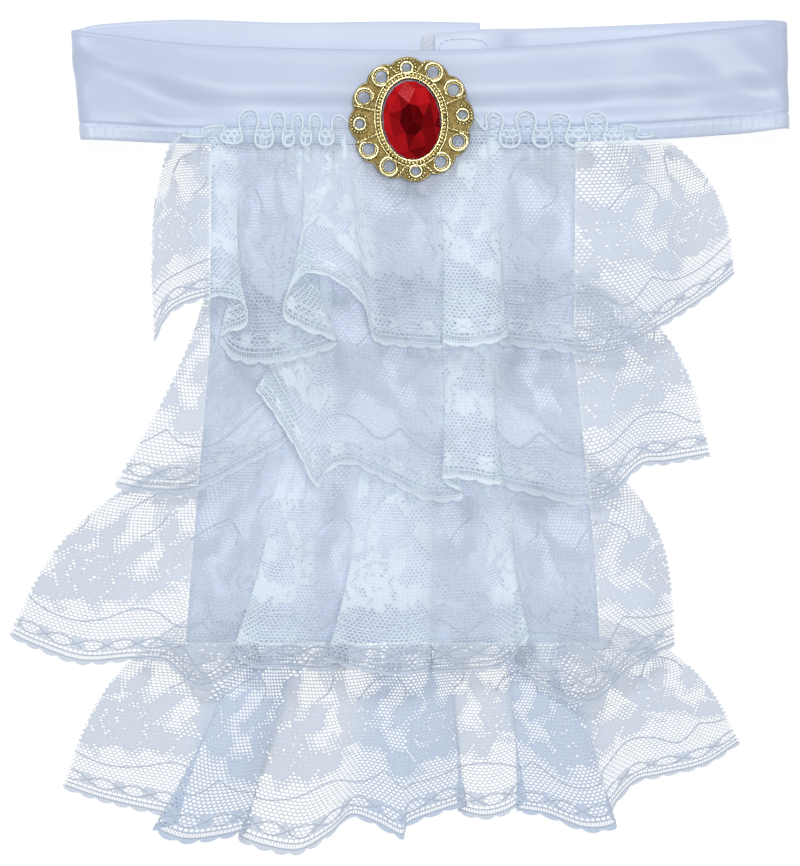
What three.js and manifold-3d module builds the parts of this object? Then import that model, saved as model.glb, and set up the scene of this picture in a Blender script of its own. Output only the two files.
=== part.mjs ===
// A costume lace jabot, laid flat on its back: a satin neckband closed in a flattened loop, a satin
// backing panel, four gathered tiers of lace and an openwork brooch. Millimetres, +Z up, +Y towards
// the neck. The origin lies on the underside of the backing panel.
import * as THREE from "three";
import Module from "manifold-3d";
import { mergeVertices } from "three/addons/utils/BufferGeometryUtils.js";

// ---- driving dimensions ----
const CLOTH = 1.0; // thickness of every cloth wall
const GAP = 0.3; // air between pieces that lie on each other
const EASE = 0.4; // more air where one sheet drapes over another
const PANEL_TOP = CLOTH;
const FOLD_RISE = 0.85; // scale of the folds' heights
const GATHER_RISE = 0.9; // half the height of a gather at the seam
const HEADING = 3; // lace that stands above a hidden seam
const SHOWN_HEADING = 6.5; // lace that stands above the first seam
const HEADING_CURL = 2.8; // how far the shown heading lifts between its loops
const LOOP_BULGE = 0.16; // sideways swell of a loop, as a share of its width
const SWING = 0.16; // share of a strip, from each end, that swings out with the end
const SWING_EARLY = 0.72; // under 1, the swing is widest above the middle of the drop
const FOLD_START = 0.42; // share of the drop in which gathers die out and folds rise
const FOLD_TUCK = 1.8; // power by which folds turn under towards the hem
const PINNED = 0.25; // share of the gathers' height left under the brooch
const PINNED_REACH = [17.5, 22]; // distance from the brooch at which the gathers come back
const HIDDEN_CROWN = 0.6; // height of the heading between loops where it doesn't curl
const HEADING_ARCH = 1.5; // how far the heading arches between its loops
const BROOCH = { x: 3.5, y: 85.5, base: 7.3, lean: THREE.MathUtils.degToRad(5) };

const { smoothstep, lerp, clamp } = THREE.MathUtils;

// Rows of numbers under named columns.
const table = (columns, rows) =>
  rows.map((row) => Object.fromEntries(columns.map((name, i) => [name, row[i]])));

// ---- the neckband: one strip, followed from the end of its left strap to the end of its right ----
// x along the upper edge, z of the wall's middle, y of the upper and the lower edge, how much of the
// front's swell it has, and how far to the right its lower edge is shifted.
const NECKBAND = table(["x", "z", "top", "bottom", "swell", "lean"], [
  [22, 0.5, 112.2, 84, 0, 0],
  [0, 0.5, 112.5, 85, 0, 0],
  [-30, 0.5, 112.2, 85, 0, 0],
  [-58, 0.5, 113, 84.5, 0, 0],
  [-80, 0.5, 111.8, 82.5, 0, 1.6],
  [-86.4, 0.6, 110.4, 81, 0, 2.4],
  [-88.2, 2.2, 110, 80.5, 0, 2.7],
  [-86.4, 3.8, 109.8, 80.3, 0, 2.4],
  [-80, 3.7, 108.8, 80.2, 0.3, 1.6],
  [-58, 2.4, 106.2, 79.6, 1, 0],
  [-30, 2.1, 105, 79.4, 1, 0],
  [11, 2.3, 104.4, 79.4, 1, 0],
  [40, 2.3, 105.8, 79.8, 1, 0],
  [66, 2.4, 108, 80.5, 1, 0],
  [92, 3.4, 110.6, 82, 0.5, 0],
  [102.6, 4, 111.8, 83.2, 0, 0],
  [104.8, 2.3, 112, 83.4, 0, 0],
  [102.8, 0.6, 112.8, 84, 0, 0],
  [92, 0.5, 112.8, 85, 0, 0],
  [60, 0.5, 111.4, 85.5, 0, 0],
  [36, 0.7, 110.6, 85.5, 0, 0],
  [27, 2.1, 110.4, 88, 0, 0],
  [20, 2.7, 110, 88.5, 0, 0],
  [9.6, 2.7, 108.6, 89, 0, 0],
]);
// Rise of the swollen front over its lower edge, from the lower edge (at 0) to the upper (at 1).
const FRONT_SWELL = [0, 1.7, 2.3, 2.5, 2.5];

// ---- the backing panel: half-way points down its two sides ----
const PANEL = table(["y", "left", "right"], [
  [79, -50.5, 48],
  [24, -51, 47.5],
  [-30, -55.5, 53],
  [-55.5, -57.5, 54.5],
]);

// ---- the lace tiers: a row for each crease, from the seam to the hem ----
// seam: x at the gathered seam. x, y: the hem. z: height of the hem's wall over its rest.
const CREASE = ["seam", "x", "y", "z"];
const TIER_1 = table(CREASE, [
  [-60, -66, 25, 0],
  [-57, -61, 33.5, 0],
  [-52, -49.5, 37.5, 3.4],
  [-46.5, -42, 36, 5],
  [-43.5, -40.5, 30, 3.6],
  [-42, -48, 26.5, 1.8],
  [-40, -44, 20.5, 0.2],
  [-37, -35, 19.5, 0],
  [-33, -24, 21.5, 0.2],
  [-29.5, -16, 25, 1.6],
  [-26.5, -25, 28.5, 3.4],
  [-24.5, -31, 33, 5.4],
  [-22, -26, 43, 7.4],
  [-18.5, -18, 42.5, 7.8],
  [-14.5, -9.5, 35.5, 6.6],
  [-12, -6.5, 26, 3.6],
  [-7, -1.5, 24.5, 0.6],
  [0, 4, 24, 0],
  [6, 12, 23.5, 0.6],
  [9, 16.5, 24, 2],
  [11, 11.5, 25, 4.2],
  [16, 18, 24, 6.4],
  [22, 27, 25.5, 6],
  [25, 29.5, 27.5, 3.8],
  [28, 27, 25, 1.6],
  [32, 34, 24, 0.2],
  [40, 43, 23, 0.4],
  [48, 51, 21.5, 1.8],
  [55, 59, 22.5, 3.4],
  [60, 68.5, 28, 4],
  [65.5, 82.5, 37, 0],
  [69.5, 91, 44, 0],
]);
const TIER_2 = table(CREASE, [
  [-52, -77, -13.5, 0],
  [-47.5, -66, -15.5, 0],
  [-43.5, -54, -14.5, 0.2],
  [-39.5, -44, -9.5, 0.4],
  [-36, -31, -2, 0.4],
  [-33.5, -27, 3, 1.8],
  [-32, -33, 10, 3.8],
  [-30, -38.5, 13, 5.8],
  [-28, -34, 7, 7.8],
  [-25.5, -27, -4, 8],
  [-22.5, -22, -13.5, 5.8],
  [-20, -18.5, -9, 2.8],
  [-16, -12.5, -7.5, 0.6],
  [-10, -7, -10, 0.2],
  [-4.5, 0, -13.5, 0.4],
  [1, 7, -17, 0.6],
  [6, 14.5, -17.5, 1.2],
  [9, 17.5, -15.5, 2.8],
  [11, 11.5, -11.5, 4.8],
  [15, 18.5, -11.5, 7.4],
  [20, 26, -13, 7],
  [23.5, 28, -11.5, 4.6],
  [26, 25.5, -12.5, 2.2],
  [29, 31.5, -14.5, 0.4],
  [34, 40, -16.5, 0],
  [38.5, 48, -18.5, 0.4],
  [43, 57, -16.5, 2],
  [47, 65, -8.5, 4],
  [50, 72.5, -7.5, 2.6],
  [54.5, 84.5, -5.5, 0],
]);
const TIER_3 = table(CREASE, [
  [-53.5, -105.5, -54, 0],
  [-50.5, -98, -57.5, 0],
  [-47, -86, -61.5, 0],
  [-43.5, -72, -60.5, 0],
  [-40.5, -63, -61, 0],
  [-38, -54, -68, 0.2],
  [-35, -43, -63, 0.6],
  [-32.5, -37.5, -60, 2.2],
  [-30.5, -44.5, -57, 4.6],
  [-27, -40, -61.5, 7],
  [-23.5, -32, -62, 6],
  [-20.5, -26.5, -62.5, 3],
  [-17, -20, -63, 0.4],
  [-12.5, -13.5, -61, 1.2],
  [-10.5, -16, -58.5, 3.2],
  [-8, -19.5, -60, 5.6],
  [-4.5, -11, -62.5, 7.6],
  [0.5, -1.5, -64, 7.8],
  [4.5, 7, -63, 6],
  [7.5, 9, -62, 3.4],
  [10, 9, -63.5, 1.2],
  [14, 15.5, -63.5, 0],
  [19, 24, -63, 0.6],
  [22, 29, -61, 3.4],
  [25, 34, -55, 6.6],
  [27.5, 35, -53, 5.4],
  [29.5, 32, -57, 3],
  [31.5, 33, -63, 1],
  [35, 42, -70, 0],
  [39, 53, -72, 0.2],
  [43, 61, -64, 2.2],
  [47, 67.5, -59.5, 3.4],
  [51, 74.5, -56.5, 0.4],
]);
const TIER_4 = table(CREASE, [
  [-55, -91, -95, 0],
  [-50.5, -81, -98.5, 0],
  [-45.5, -71, -101, 0],
  [-41.5, -62, -103, 0.4],
  [-39, -60, -105, 2.4],
  [-37, -66.5, -106, 4.4],
  [-32.5, -58.5, -109.5, 5.8],
  [-27.5, -48, -108.5, 5.4],
  [-24.5, -41.5, -107, 3],
  [-21.5, -43.5, -109, 0.8],
  [-18, -36, -112, 0],
  [-13, -27, -113, 0],
  [-8, -18.5, -108, 0.8],
  [-4.5, -13, -103, 2.2],
  [0, -6, -105, 3.6],
  [4, 1, -108.5, 4.8],
  [7, 2.5, -105, 5.8],
  [10.5, 11.5, -101.5, 5.2],
  [13, 18.5, -99.5, 3],
  [15, 16, -101.5, 0.9],
  [19, 23, -103.5, 0],
  [23, 29.5, -102, 0.4],
  [26.5, 35, -98, 1.8],
  [29, 32, -101, 3.8],
  [33, 40, -102.5, 5.8],
  [37.5, 51, -106.5, 5.4],
  [41, 59, -105.5, 3.2],
  [43.5, 57.5, -102, 1.2],
  [46.5, 64, -94, 0.2],
  [48.5, 71, -92, 1.2],
  [50.5, 83, -89, 0.8],
  [52, 92.5, -83, 0],
]);
// The loops of the shown heading: x of the crown of each.
const LOOP_CROWNS = [
  -60, -49.5, -40, -32, -27, -22.5, -16, -9, -1.5, 5.5, 12.5, 19, 25.5, 34.5, 43, 53.5, 62.5, 70,
];
const HIDDEN_LOOPS = 14; // gathers of each tier whose heading the tier above hides
// From the top tier to the bottom one. swing: how far the left and the right end swing out.
const TIERS = [
  { seamY: 81.5, creases: TIER_1, crowns: LOOP_CROWNS, swing: [-4, 8], columns: 120 },
  { seamY: 42.5, creases: TIER_2, swing: [3, 9], columns: 112 },
  { seamY: -4, creases: TIER_3, swing: [-13, 10], columns: 112 },
  { seamY: -48, creases: TIER_4, swing: [-9, 11], columns: 112 },
];

// ---- materials ----
const material = (colour, roughness, metalness = 0) =>
  new THREE.MeshStandardMaterial({ color: colour, roughness, metalness });
const SATIN = () => material(0xc8d3e8, 0.4);
const LACE = () => material(0xe2ebf8, 0.8);

const mesh = (name, geometry, finish) => {
  const made = new THREE.Mesh(geometry, finish);
  made.name = name;
  return made;
};

// ---- a wall of cloth ----
// Closes the sheet point(u, v), u and v from 0 to 1, into a wall of the cloth's thickness.
function clothWall(point, us, vs) {
  const step = 1e-3;
  const columns = us.length;
  const rows = vs.length;
  const positions = [];
  for (const side of [1, -1])
    for (const v of vs)
      for (const u of us) {
        const along = point(Math.min(u + step, 1), v).sub(point(Math.max(u - step, 0), v));
        const down = point(u, Math.min(v + step, 1)).sub(point(u, Math.max(v - step, 0)));
        const out = down.cross(along).normalize();
        const place = point(u, v).addScaledVector(out, (side * CLOTH) / 2);
        positions.push(place.x, place.y, Math.max(place.z, 0)); // flat where it rests
      }
  const at = (side, i, j) => side * columns * rows + j * columns + i;
  const index = [];
  const quad = (a, b, c, d) => index.push(a, b, c, a, c, d);
  for (let j = 0; j + 1 < rows; j++)
    for (let i = 0; i + 1 < columns; i++) {
      quad(at(0, i, j), at(0, i, j + 1), at(0, i + 1, j + 1), at(0, i + 1, j));
      quad(at(1, i, j), at(1, i + 1, j), at(1, i + 1, j + 1), at(1, i, j + 1));
    }
  for (let i = 0; i + 1 < columns; i++) {
    quad(at(0, i, 0), at(0, i + 1, 0), at(1, i + 1, 0), at(1, i, 0));
    quad(at(0, i + 1, rows - 1), at(0, i, rows - 1), at(1, i, rows - 1), at(1, i + 1, rows - 1));
  }
  const end = columns - 1;
  for (let j = 0; j + 1 < rows; j++) {
    quad(at(0, 0, j + 1), at(0, 0, j), at(1, 0, j), at(1, 0, j + 1));
    quad(at(0, end, j), at(0, end, j + 1), at(1, end, j + 1), at(1, end, j));
  }
  const geometry = new THREE.BufferGeometry();
  geometry.setAttribute("position", new THREE.Float32BufferAttribute(positions, 3));
  geometry.setIndex(index);
  return geometry;
}

// count parameters from 0 to 1, spaced evenly by cost(t, previous t).
function spacedBy(cost, count) {
  const fine = 4000;
  const sums = [0];
  for (let i = 1; i <= fine; i++) sums.push(sums[i - 1] + cost(i / fine, (i - 1) / fine));
  const spaced = [];
  let at = 0;
  for (let k = 0; k < count; k++) {
    const want = (sums[fine] * k) / (count - 1);
    while (at < fine && sums[at + 1] < want) at++;
    spaced.push(k === count - 1 ? 1 : at / fine);
  }
  return spaced;
}

// A value between the rows of a table, on a straight line from row to row.
function along(rows, key, column, x) {
  const forward = rows[rows.length - 1][key] > rows[0][key];
  const next = rows.findIndex((row) => (forward ? row[key] >= x : row[key] <= x));
  if (next === 0) return rows[0][column];
  if (next < 0) return rows[rows.length - 1][column];
  const before = rows[next - 1];
  const share = (x - before[key]) / (rows[next][key] - before[key]);
  return lerp(before[column], rows[next][column], share);
}

const curveOf = (rows, pick) =>
  new THREE.CatmullRomCurve3(rows.map((row) => new THREE.Vector3(...pick(row))), false, "catmullrom", 0.5);

// ---- neckband ----
const bandPath = curveOf(NECKBAND, (row) => [row.x, row.swell, row.z]);
const bandEdges = curveOf(NECKBAND, (row) => [row.top, row.bottom, row.lean]);

// u follows the strip, v goes from its upper edge (0) to its lower edge (1).
function neckbandPoint(u, v) {
  const path = bandPath.getPoint(u);
  const edges = bandEdges.getPoint(u);
  const place = (1 - v) * (FRONT_SWELL.length - 1);
  const below = Math.min(Math.floor(place), FRONT_SWELL.length - 2);
  const swell = lerp(FRONT_SWELL[below], FRONT_SWELL[below + 1], place - below);
  const z = path.z + clamp(path.y, 0, 1) * swell;
  return new THREE.Vector3(path.x + edges.z * v, lerp(edges.x, edges.y, v), z);
}

function neckband() {
  const turn = 3; // extra columns for a tight turn
  const us = spacedBy((t, before) => {
    const move = bandPath.getPoint(t).sub(bandPath.getPoint(before));
    return Math.abs(move.x) + turn * Math.abs(move.z) + 0.002;
  }, 50);
  const backwards = us.map((u) => 1 - u).reverse();
  return clothWall((u, v) => neckbandPoint(1 - u, v), backwards, [0, 0.25, 0.5, 0.75, 1]);
}

// The soft patch near the end of the left strap, under the end of the right one.
function loopPatch() {
  const [left, right, low, high, top] = [6, 18, 90, 109.5, 2];
  const shape = new THREE.Shape();
  const corner = 2;
  shape.moveTo(left + corner, low);
  shape.lineTo(right - corner, low);
  shape.absarc(right - corner, low + corner, corner, -Math.PI / 2, 0);
  shape.absarc(right - corner, high - corner, corner, 0, Math.PI / 2);
  shape.absarc(left + corner, high - corner, corner, Math.PI / 2, Math.PI);
  shape.absarc(left + corner, low + corner, corner, Math.PI, 1.5 * Math.PI);
  const base = CLOTH + GAP;
  return new THREE.ExtrudeGeometry(shape, { depth: top - base, bevelEnabled: false, curveSegments: 4 })
    .translate(0, 0, base);
}

// ---- backing panel ----
function backingPanel() {
  const shape = new THREE.Shape();
  PANEL.forEach((row, i) => (i ? shape.lineTo(row.left, row.y) : shape.moveTo(row.left, row.y)));
  [...PANEL].reverse().forEach((row) => shape.lineTo(row.right, row.y));
  return new THREE.ExtrudeGeometry(shape, { depth: PANEL_TOP, bevelEnabled: false });
}

// ---- what each tier lies on ----
// The height of the highest cloth at each place, on a grid, widened and softened so that the next
// sheet drapes over it.
const GROUND = { left: -114, low: -122, width: 228, depth: 244, widen: 7, soften: 4 };

function spread(field, reach, pick) {
  const pass = (from, stepX, stepY) => {
    const to = new Float32Array(from.length);
    for (let y = 0; y < GROUND.depth; y++)
      for (let x = 0; x < GROUND.width; x++) {
        const near = [];
        for (let k = -reach; k <= reach; k++) {
          const nx = clamp(x + k * stepX, 0, GROUND.width - 1);
          const ny = clamp(y + k * stepY, 0, GROUND.depth - 1);
          near.push(from[ny * GROUND.width + nx]);
        }
        to[y * GROUND.width + x] = pick(near);
      }
    return to;
  };
  return pass(pass(field, 1, 0), 0, 1);
}

function newGround() {
  let field = new Float32Array(GROUND.width * GROUND.depth);
  const mean = (list) => list.reduce((a, b) => a + b) / list.length;
  return {
    // Takes in a piece, as the middle points of its wall.
    lay(points) {
      const laid = Float32Array.from(field);
      for (const p of points) {
        const cell = Math.round(p.y - GROUND.low) * GROUND.width + Math.round(p.x - GROUND.left);
        laid[cell] = Math.max(laid[cell], p.z + CLOTH / 2 + GAP + EASE);
      }
      field = laid;
      this.soft = spread(spread(laid, GROUND.widen, (list) => Math.max(...list)), GROUND.soften, mean);
    },
    // Height of the middle of a wall that lies at (x, y).
    rest(x, y) {
      const px = clamp(x - GROUND.left, 0, GROUND.width - 1.001);
      const py = clamp(y - GROUND.low, 0, GROUND.depth - 1.001);
      const [cx, cy] = [Math.floor(px), Math.floor(py)];
      const at = (i, j) => this.soft[(cy + j) * GROUND.width + cx + i];
      const [sx, sy] = [px - cx, py - cy];
      return CLOTH / 2 + lerp(lerp(at(0, 0), at(1, 0), sx), lerp(at(0, 1), at(1, 1), sx), sy);
    },
  };
}

// Points over a sheet, close enough together to leave no cell of the ground out.
function pointsOver(point, acrossCount, downCount) {
  const points = [];
  for (let i = 0; i <= acrossCount; i++)
    for (let j = 0; j <= downCount; j++) points.push(point(i / acrossCount, j / downCount));
  return points;
}

function panelPoint(u, v) {
  const y = lerp(PANEL[0].y, PANEL[PANEL.length - 1].y, v);
  const x = lerp(along(PANEL, "y", "left", y), along(PANEL, "y", "right", y), u);
  return new THREE.Vector3(x, y, CLOTH / 2);
}

// ---- lace tiers ----
// Phase of the gathers at a place along the seam: a whole turn for each loop, 0 at its crown.
function gatherPhase(tier, seam) {
  const first = tier.creases[0].seam;
  const last = tier.creases[tier.creases.length - 1].seam;
  if (!tier.crowns) {
    const share = (seam - first) / (last - first);
    const uneven = 0.018 * Math.sin(9 * share + tier.seamY);
    return { turns: HIDDEN_LOOPS * (share + uneven), width: (last - first) / HIDDEN_LOOPS };
  }
  const crowns = tier.crowns;
  const next = clamp(crowns.findIndex((x) => x > seam), 1, crowns.length - 1);
  const width = crowns[next] - crowns[next - 1];
  return { turns: next - 1 + (seam - crowns[next - 1]) / width, width };
}

// The crease table as fine samples: the hem, the seam, and the hem with its folds smoothed out.
function tierLines(tier) {
  const fine = 1200;
  const window = 0.1; // share of the strip that the smoothing spans, each way
  const hemLine = curveOf(tier.creases, (row) => [row.x, row.y, row.z]);
  const seamLine = curveOf(tier.creases, (row) => [row.seam, 0, 0]);
  const hem = [];
  const seam = [];
  for (let i = 0; i <= fine; i++) {
    hem.push(hemLine.getPoint(i / fine));
    seam.push(seamLine.getPoint(i / fine).x);
  }
  const trend = hem.map((_, i) => {
    const reach = Math.min(Math.round(window * fine), i, fine - i);
    const sum = new THREE.Vector3();
    for (let k = i - reach; k <= i + reach; k++) sum.add(hem[k]);
    return sum.divideScalar(2 * reach + 1);
  });
  return (u) => {
    const place = clamp(u, 0, 1) * fine;
    const i = Math.min(Math.floor(place), fine - 1);
    const share = place - i;
    return {
      hem: hem[i].clone().lerp(hem[i + 1], share),
      trend: trend[i].clone().lerp(trend[i + 1], share),
      seam: lerp(seam[i], seam[i + 1], share),
    };
  };
}

function tierSheet(tier, ground) {
  const lines = tierLines(tier);
  // u runs along the strip, v from the heading's edge (-1) over the seam (0) to the hem (1).
  return (u, v) => {
    const { hem, trend, seam } = lines(u);
    const { turns, width } = gatherPhase(tier, seam);
    const phase = 2 * Math.PI * turns;
    const crown = 0.5 + 0.5 * Math.cos(phase);
    const heading = tier.crowns ? SHOWN_HEADING : HEADING;
    // how freely the heading curls: not at all under the brooch, or under another tier
    const free = tier.crowns ? smoothstep(Math.abs(seam - BROOCH.x), ...PINNED_REACH) : 0;
    const lift = tier.crowns ? lerp(PINNED, 1, free) : 1;
    const up = Math.max(-v, 0);
    const down = Math.max(v, 0);
    const rise = smoothstep(down, 0, FOLD_START);
    const fade = 1 - rise;
    const tuck = down ** FOLD_TUCK;
    const bulge = LOOP_BULGE * width * lift * Math.sin(2 * phase) * lerp(0.4, 1, up * free);
    const left = tier.swing[0] * (1 - smoothstep(u, 0, SWING));
    const right = tier.swing[1] * smoothstep(u, 1 - SWING, 1);
    const swing = (left + right) * Math.sin(Math.PI * down ** SWING_EARLY);
    const top = heading * lerp(lerp(HIDDEN_CROWN, 0, free), 1, crown);
    const arch = HEADING_ARCH * free * (1 - crown) * Math.sin(Math.PI * up);
    const x = lerp(seam, trend.x, down) + (hem.x - trend.x) * tuck + bulge * fade + swing;
    const y = lerp(tier.seamY, trend.y, down) + (hem.y - trend.y) * tuck + up * top + arch;
    const gather = 2 * GATHER_RISE * lift * (1 - crown) * fade;
    const curl = HEADING_CURL * free * up * (1 - crown);
    return new THREE.Vector3(x, y, ground.rest(x, y) + gather + curl + FOLD_RISE * hem.z * rise);
  };
}

function laceTier(tier, ground) {
  const sheet = tierSheet(tier, ground);
  const rows = tier.crowns ? [-1, -0.5, 0, 0.16, 0.34, 0.5, 0.7, 1] : [-1, 0, 0.18, 0.36, 0.54, 0.75, 1];
  const slope = (t, v) =>
    sheet(Math.min(t + 1e-3, 1), v).sub(sheet(Math.max(t - 1e-3, 0), v)).normalize();
  const cost = (t, before, v, turn) =>
    sheet(t, v).distanceTo(sheet(before, v)) + turn * slope(t, v).angleTo(slope(before, v));
  const us = spacedBy((t, before) => cost(t, before, 1, 4) + cost(t, before, 0, 2.5), tier.columns);
  const whole = (u, share) => sheet(u, lerp(-1, 1, share));
  const geometry = clothWall(whole, us, rows.map((v) => (v + 1) / 2));
  ground.lay(pointsOver(whole, 700, 260));
  return geometry;
}

// ---- brooch ----
const STONE = { halfWidth: 7.7, halfHeight: 10.6 };
const BEZEL = { wire: 0.8, clear: GAP };
const RING = { count: 12, orbit: 13.9, large: 2.35, small: 1.7, wire: 0.75, sides: 4, steps: 12 };
const FIELD = { halfWidth: 11.6, halfHeight: 12.6, thickness: 1.1 };
const PETAL = { radius: 1.15, reach: 2.3, spread: 1.1 };
const PIN_BAR = { width: 22, depth: 3, y: 7.5, foot: 5.7 }; // foot: just over the neckband's front

const wasm = await Module();
wasm.setup();

function solidOf(geometry) {
  geometry.deleteAttribute("normal");
  geometry.deleteAttribute("uv");
  const merged = mergeVertices(geometry, 1e-4);
  return new wasm.Manifold(new wasm.Mesh({
    numProp: 3,
    vertProperties: new Float32Array(merged.attributes.position.array),
    triVerts: new Uint32Array(merged.index.array),
  }));
}

function geometryOf(solid) {
  const made = solid.getMesh();
  const geometry = new THREE.BufferGeometry();
  geometry.setAttribute("position", new THREE.BufferAttribute(made.vertProperties, 3));
  geometry.setIndex(new THREE.BufferAttribute(made.triVerts, 1));
  return geometry;
}

const ellipse = (halfWidth, halfHeight) =>
  new THREE.Shape().absellipse(0, 0, halfWidth, halfHeight, 0, 2 * Math.PI);

// The cast frame: a sunk oval field, twelve rings round it, petals on four of them, the bezel and
// the bar behind that carries the pin. Its underside is at z = 0.
function broochFrame() {
  const field = ellipse(FIELD.halfWidth, FIELD.halfHeight);
  const pieces = [
    new THREE.ExtrudeGeometry(field, { depth: FIELD.thickness, bevelEnabled: false, curveSegments: 16 }),
  ];
  for (let i = 0; i < RING.count; i++) {
    const angle = (2 * Math.PI * i) / RING.count;
    const small = i % 3 === 0;
    const [x, y] = [RING.orbit * Math.cos(angle), RING.orbit * Math.sin(angle)];
    const radius = small ? RING.small : RING.large;
    const ring = new THREE.TorusGeometry(radius, RING.wire, RING.sides, RING.steps);
    pieces.push(ring.translate(x, y, RING.wire));
    for (const turn of small ? [-PETAL.spread, 0, PETAL.spread] : []) {
      const petalX = x + PETAL.reach * Math.cos(angle + turn);
      const petalY = y + PETAL.reach * Math.sin(angle + turn);
      pieces.push(new THREE.SphereGeometry(PETAL.radius, 6, 4).translate(petalX, petalY, RING.wire));
    }
  }
  const grow = BEZEL.wire + BEZEL.clear;
  pieces.push(new THREE.TorusGeometry(1, BEZEL.wire / STONE.halfHeight, 6, 32)
    .scale(STONE.halfWidth + grow, STONE.halfHeight + grow, STONE.halfHeight)
    .translate(0, 0, FIELD.thickness + BEZEL.wire / 2));
  const drop = BROOCH.base - PIN_BAR.foot;
  pieces.push(new THREE.BoxGeometry(PIN_BAR.width, PIN_BAR.depth, drop + FIELD.thickness)
    .translate(0, PIN_BAR.y, (FIELD.thickness - drop) / 2));
  return geometryOf(pieces.map(solidOf).reduce((whole, piece) => whole.add(piece)));
}

// The stone: a flat back, a girdle, and rows of triangular facets up to a small flat crown.
function broochStone() {
  const rows = table(["share", "z", "turn"], [
    [0.97, 0, 0],
    [1, 0.7, 0],
    [0.82, 2, 0.5],
    [0.5, 3, 1],
  ]);
  const sides = 12;
  const positions = [];
  for (const row of rows)
    for (let i = 0; i < sides; i++) {
      const angle = (2 * Math.PI * (i + row.turn)) / sides;
      const x = row.share * STONE.halfWidth * Math.cos(angle);
      positions.push(x, row.share * STONE.halfHeight * Math.sin(angle), row.z);
    }
  positions.push(0, 0, 0, 0, 0, 3.3);
  const foot = rows.length * sides;
  const index = [];
  for (let i = 0; i < sides; i++) {
    const next = (i + 1) % sides;
    index.push(foot, next, i);
    for (let j = 0; j + 1 < rows.length; j++) {
      const [a, b] = [j * sides + i, j * sides + next];
      const [c, d] = [a + sides, b + sides];
      if (rows[j + 1].turn === rows[j].turn) index.push(a, b, d, a, d, c);
      else index.push(a, b, c, b, d, c);
    }
    const last = (rows.length - 1) * sides;
    index.push(last + i, last + next, foot + 1);
  }
  const geometry = new THREE.BufferGeometry();
  geometry.setAttribute("position", new THREE.Float32BufferAttribute(positions, 3));
  geometry.setIndex(index);
  return geometry;
}

function brooch() {
  const group = new THREE.Group();
  group.add(mesh("brooch_frame", broochFrame(), material(0xd9c382, 0.3, 1)));
  const stone = mesh("brooch_stone", broochStone(), material(0xb01020, 0.1));
  stone.position.z = FIELD.thickness + GAP;
  group.add(stone);
  group.position.set(BROOCH.x, BROOCH.y, BROOCH.base);
  group.rotation.z = BROOCH.lean;
  return group;
}

const jabot = new THREE.Group();
jabot.name = "lace_jabot";
jabot.add(mesh("neckband", neckband(), SATIN()));
jabot.add(mesh("loop_patch", loopPatch(), material(0xe6ebf2, 0.95)));
jabot.add(mesh("backing_panel", backingPanel(), SATIN()));
const ground = newGround();
ground.lay([...pointsOver(neckbandPoint, 1200, 60), ...pointsOver(panelPoint, 130, 160)]);
for (let i = TIERS.length; i > 0; i--)
  jabot.add(mesh(`lace_tier_${i}`, laceTier(TIERS[i - 1], ground), LACE()));
jabot.add(brooch());

export default jabot;
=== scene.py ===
"""A costume lace jabot, laid flat: satin neckband and panel, four gathered tiers of floral net lace,
and a gilt openwork brooch round a red stone. Sizes are in millimetres until a mesh is made."""
import math

import bpy
import numpy as np
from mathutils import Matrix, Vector


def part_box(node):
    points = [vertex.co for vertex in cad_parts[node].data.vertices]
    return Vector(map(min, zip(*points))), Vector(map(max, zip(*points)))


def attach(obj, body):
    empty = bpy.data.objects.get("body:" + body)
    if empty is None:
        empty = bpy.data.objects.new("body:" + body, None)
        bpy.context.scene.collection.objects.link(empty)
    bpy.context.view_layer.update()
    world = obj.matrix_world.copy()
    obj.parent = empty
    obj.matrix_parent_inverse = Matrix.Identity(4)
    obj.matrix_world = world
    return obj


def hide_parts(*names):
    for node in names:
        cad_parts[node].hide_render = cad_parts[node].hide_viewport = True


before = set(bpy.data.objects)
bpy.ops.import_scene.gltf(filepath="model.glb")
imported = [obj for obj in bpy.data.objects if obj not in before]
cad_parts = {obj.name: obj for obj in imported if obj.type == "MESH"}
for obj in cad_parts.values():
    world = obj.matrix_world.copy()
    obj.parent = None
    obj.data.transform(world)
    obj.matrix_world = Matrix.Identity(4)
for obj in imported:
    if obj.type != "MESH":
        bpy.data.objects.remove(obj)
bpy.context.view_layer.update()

MM = 0.001
FULL_TURN = 2 * math.pi

# ---- sizes shared with the solids ----
WALL = 1.0  # thickness of the solids' cloth, whose middle the thin cloth here follows
AIR = 0.7  # what lies between one sheet and the next
FOLD_RISE = 0.85  # share of a crease's height in the tables at which it stands
GATHER_RISE = 0.9  # half the height of a gather at the seam
HEADING = 3.0  # depth of the lace above the seam where the next tier hides it
SHOWN_HEADING = 6.5  # and where it shows
HEADING_CURL = 2.8  # how far the shown heading's edge curls up
LOOP_FLOP = 3.8  # how far the heading falls forward over the seam between its loops
LOOP_BULGE = 0.16  # how far a loop spreads sideways, as a share of its width
SWING = 0.16  # share of a strip at each end over which that end swings out
SWING_EARLY = 0.72  # under 1: the swing is widest above the middle of the drop
FOLD_START = 0.42  # share of the drop at which the folds have their full height
FOLD_TUCK = 1.8  # over 1: the creases leave the strip's trend late, near the hem
PINNED = 0.25  # share of the gathers' height that is left under the brooch
PINNED_REACH = (17.5, 22)  # from the brooch's middle: the end of the pinned part, and of its fade
HIDDEN_CROWN = 0.6  # height of the heading between crowns where it isn't free, as a share
HEADING_ARCH = 1.5  # half of how far the heading arches between its edge and the seam
BROOCH = {"x": 3.5, "y": 85.5, "base": 7.3, "lean": math.radians(5)}


def table(columns, rows):
    """The rows' numbers as one array for each named column."""
    return dict(zip(columns.split(), np.array(rows, float).T))


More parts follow.
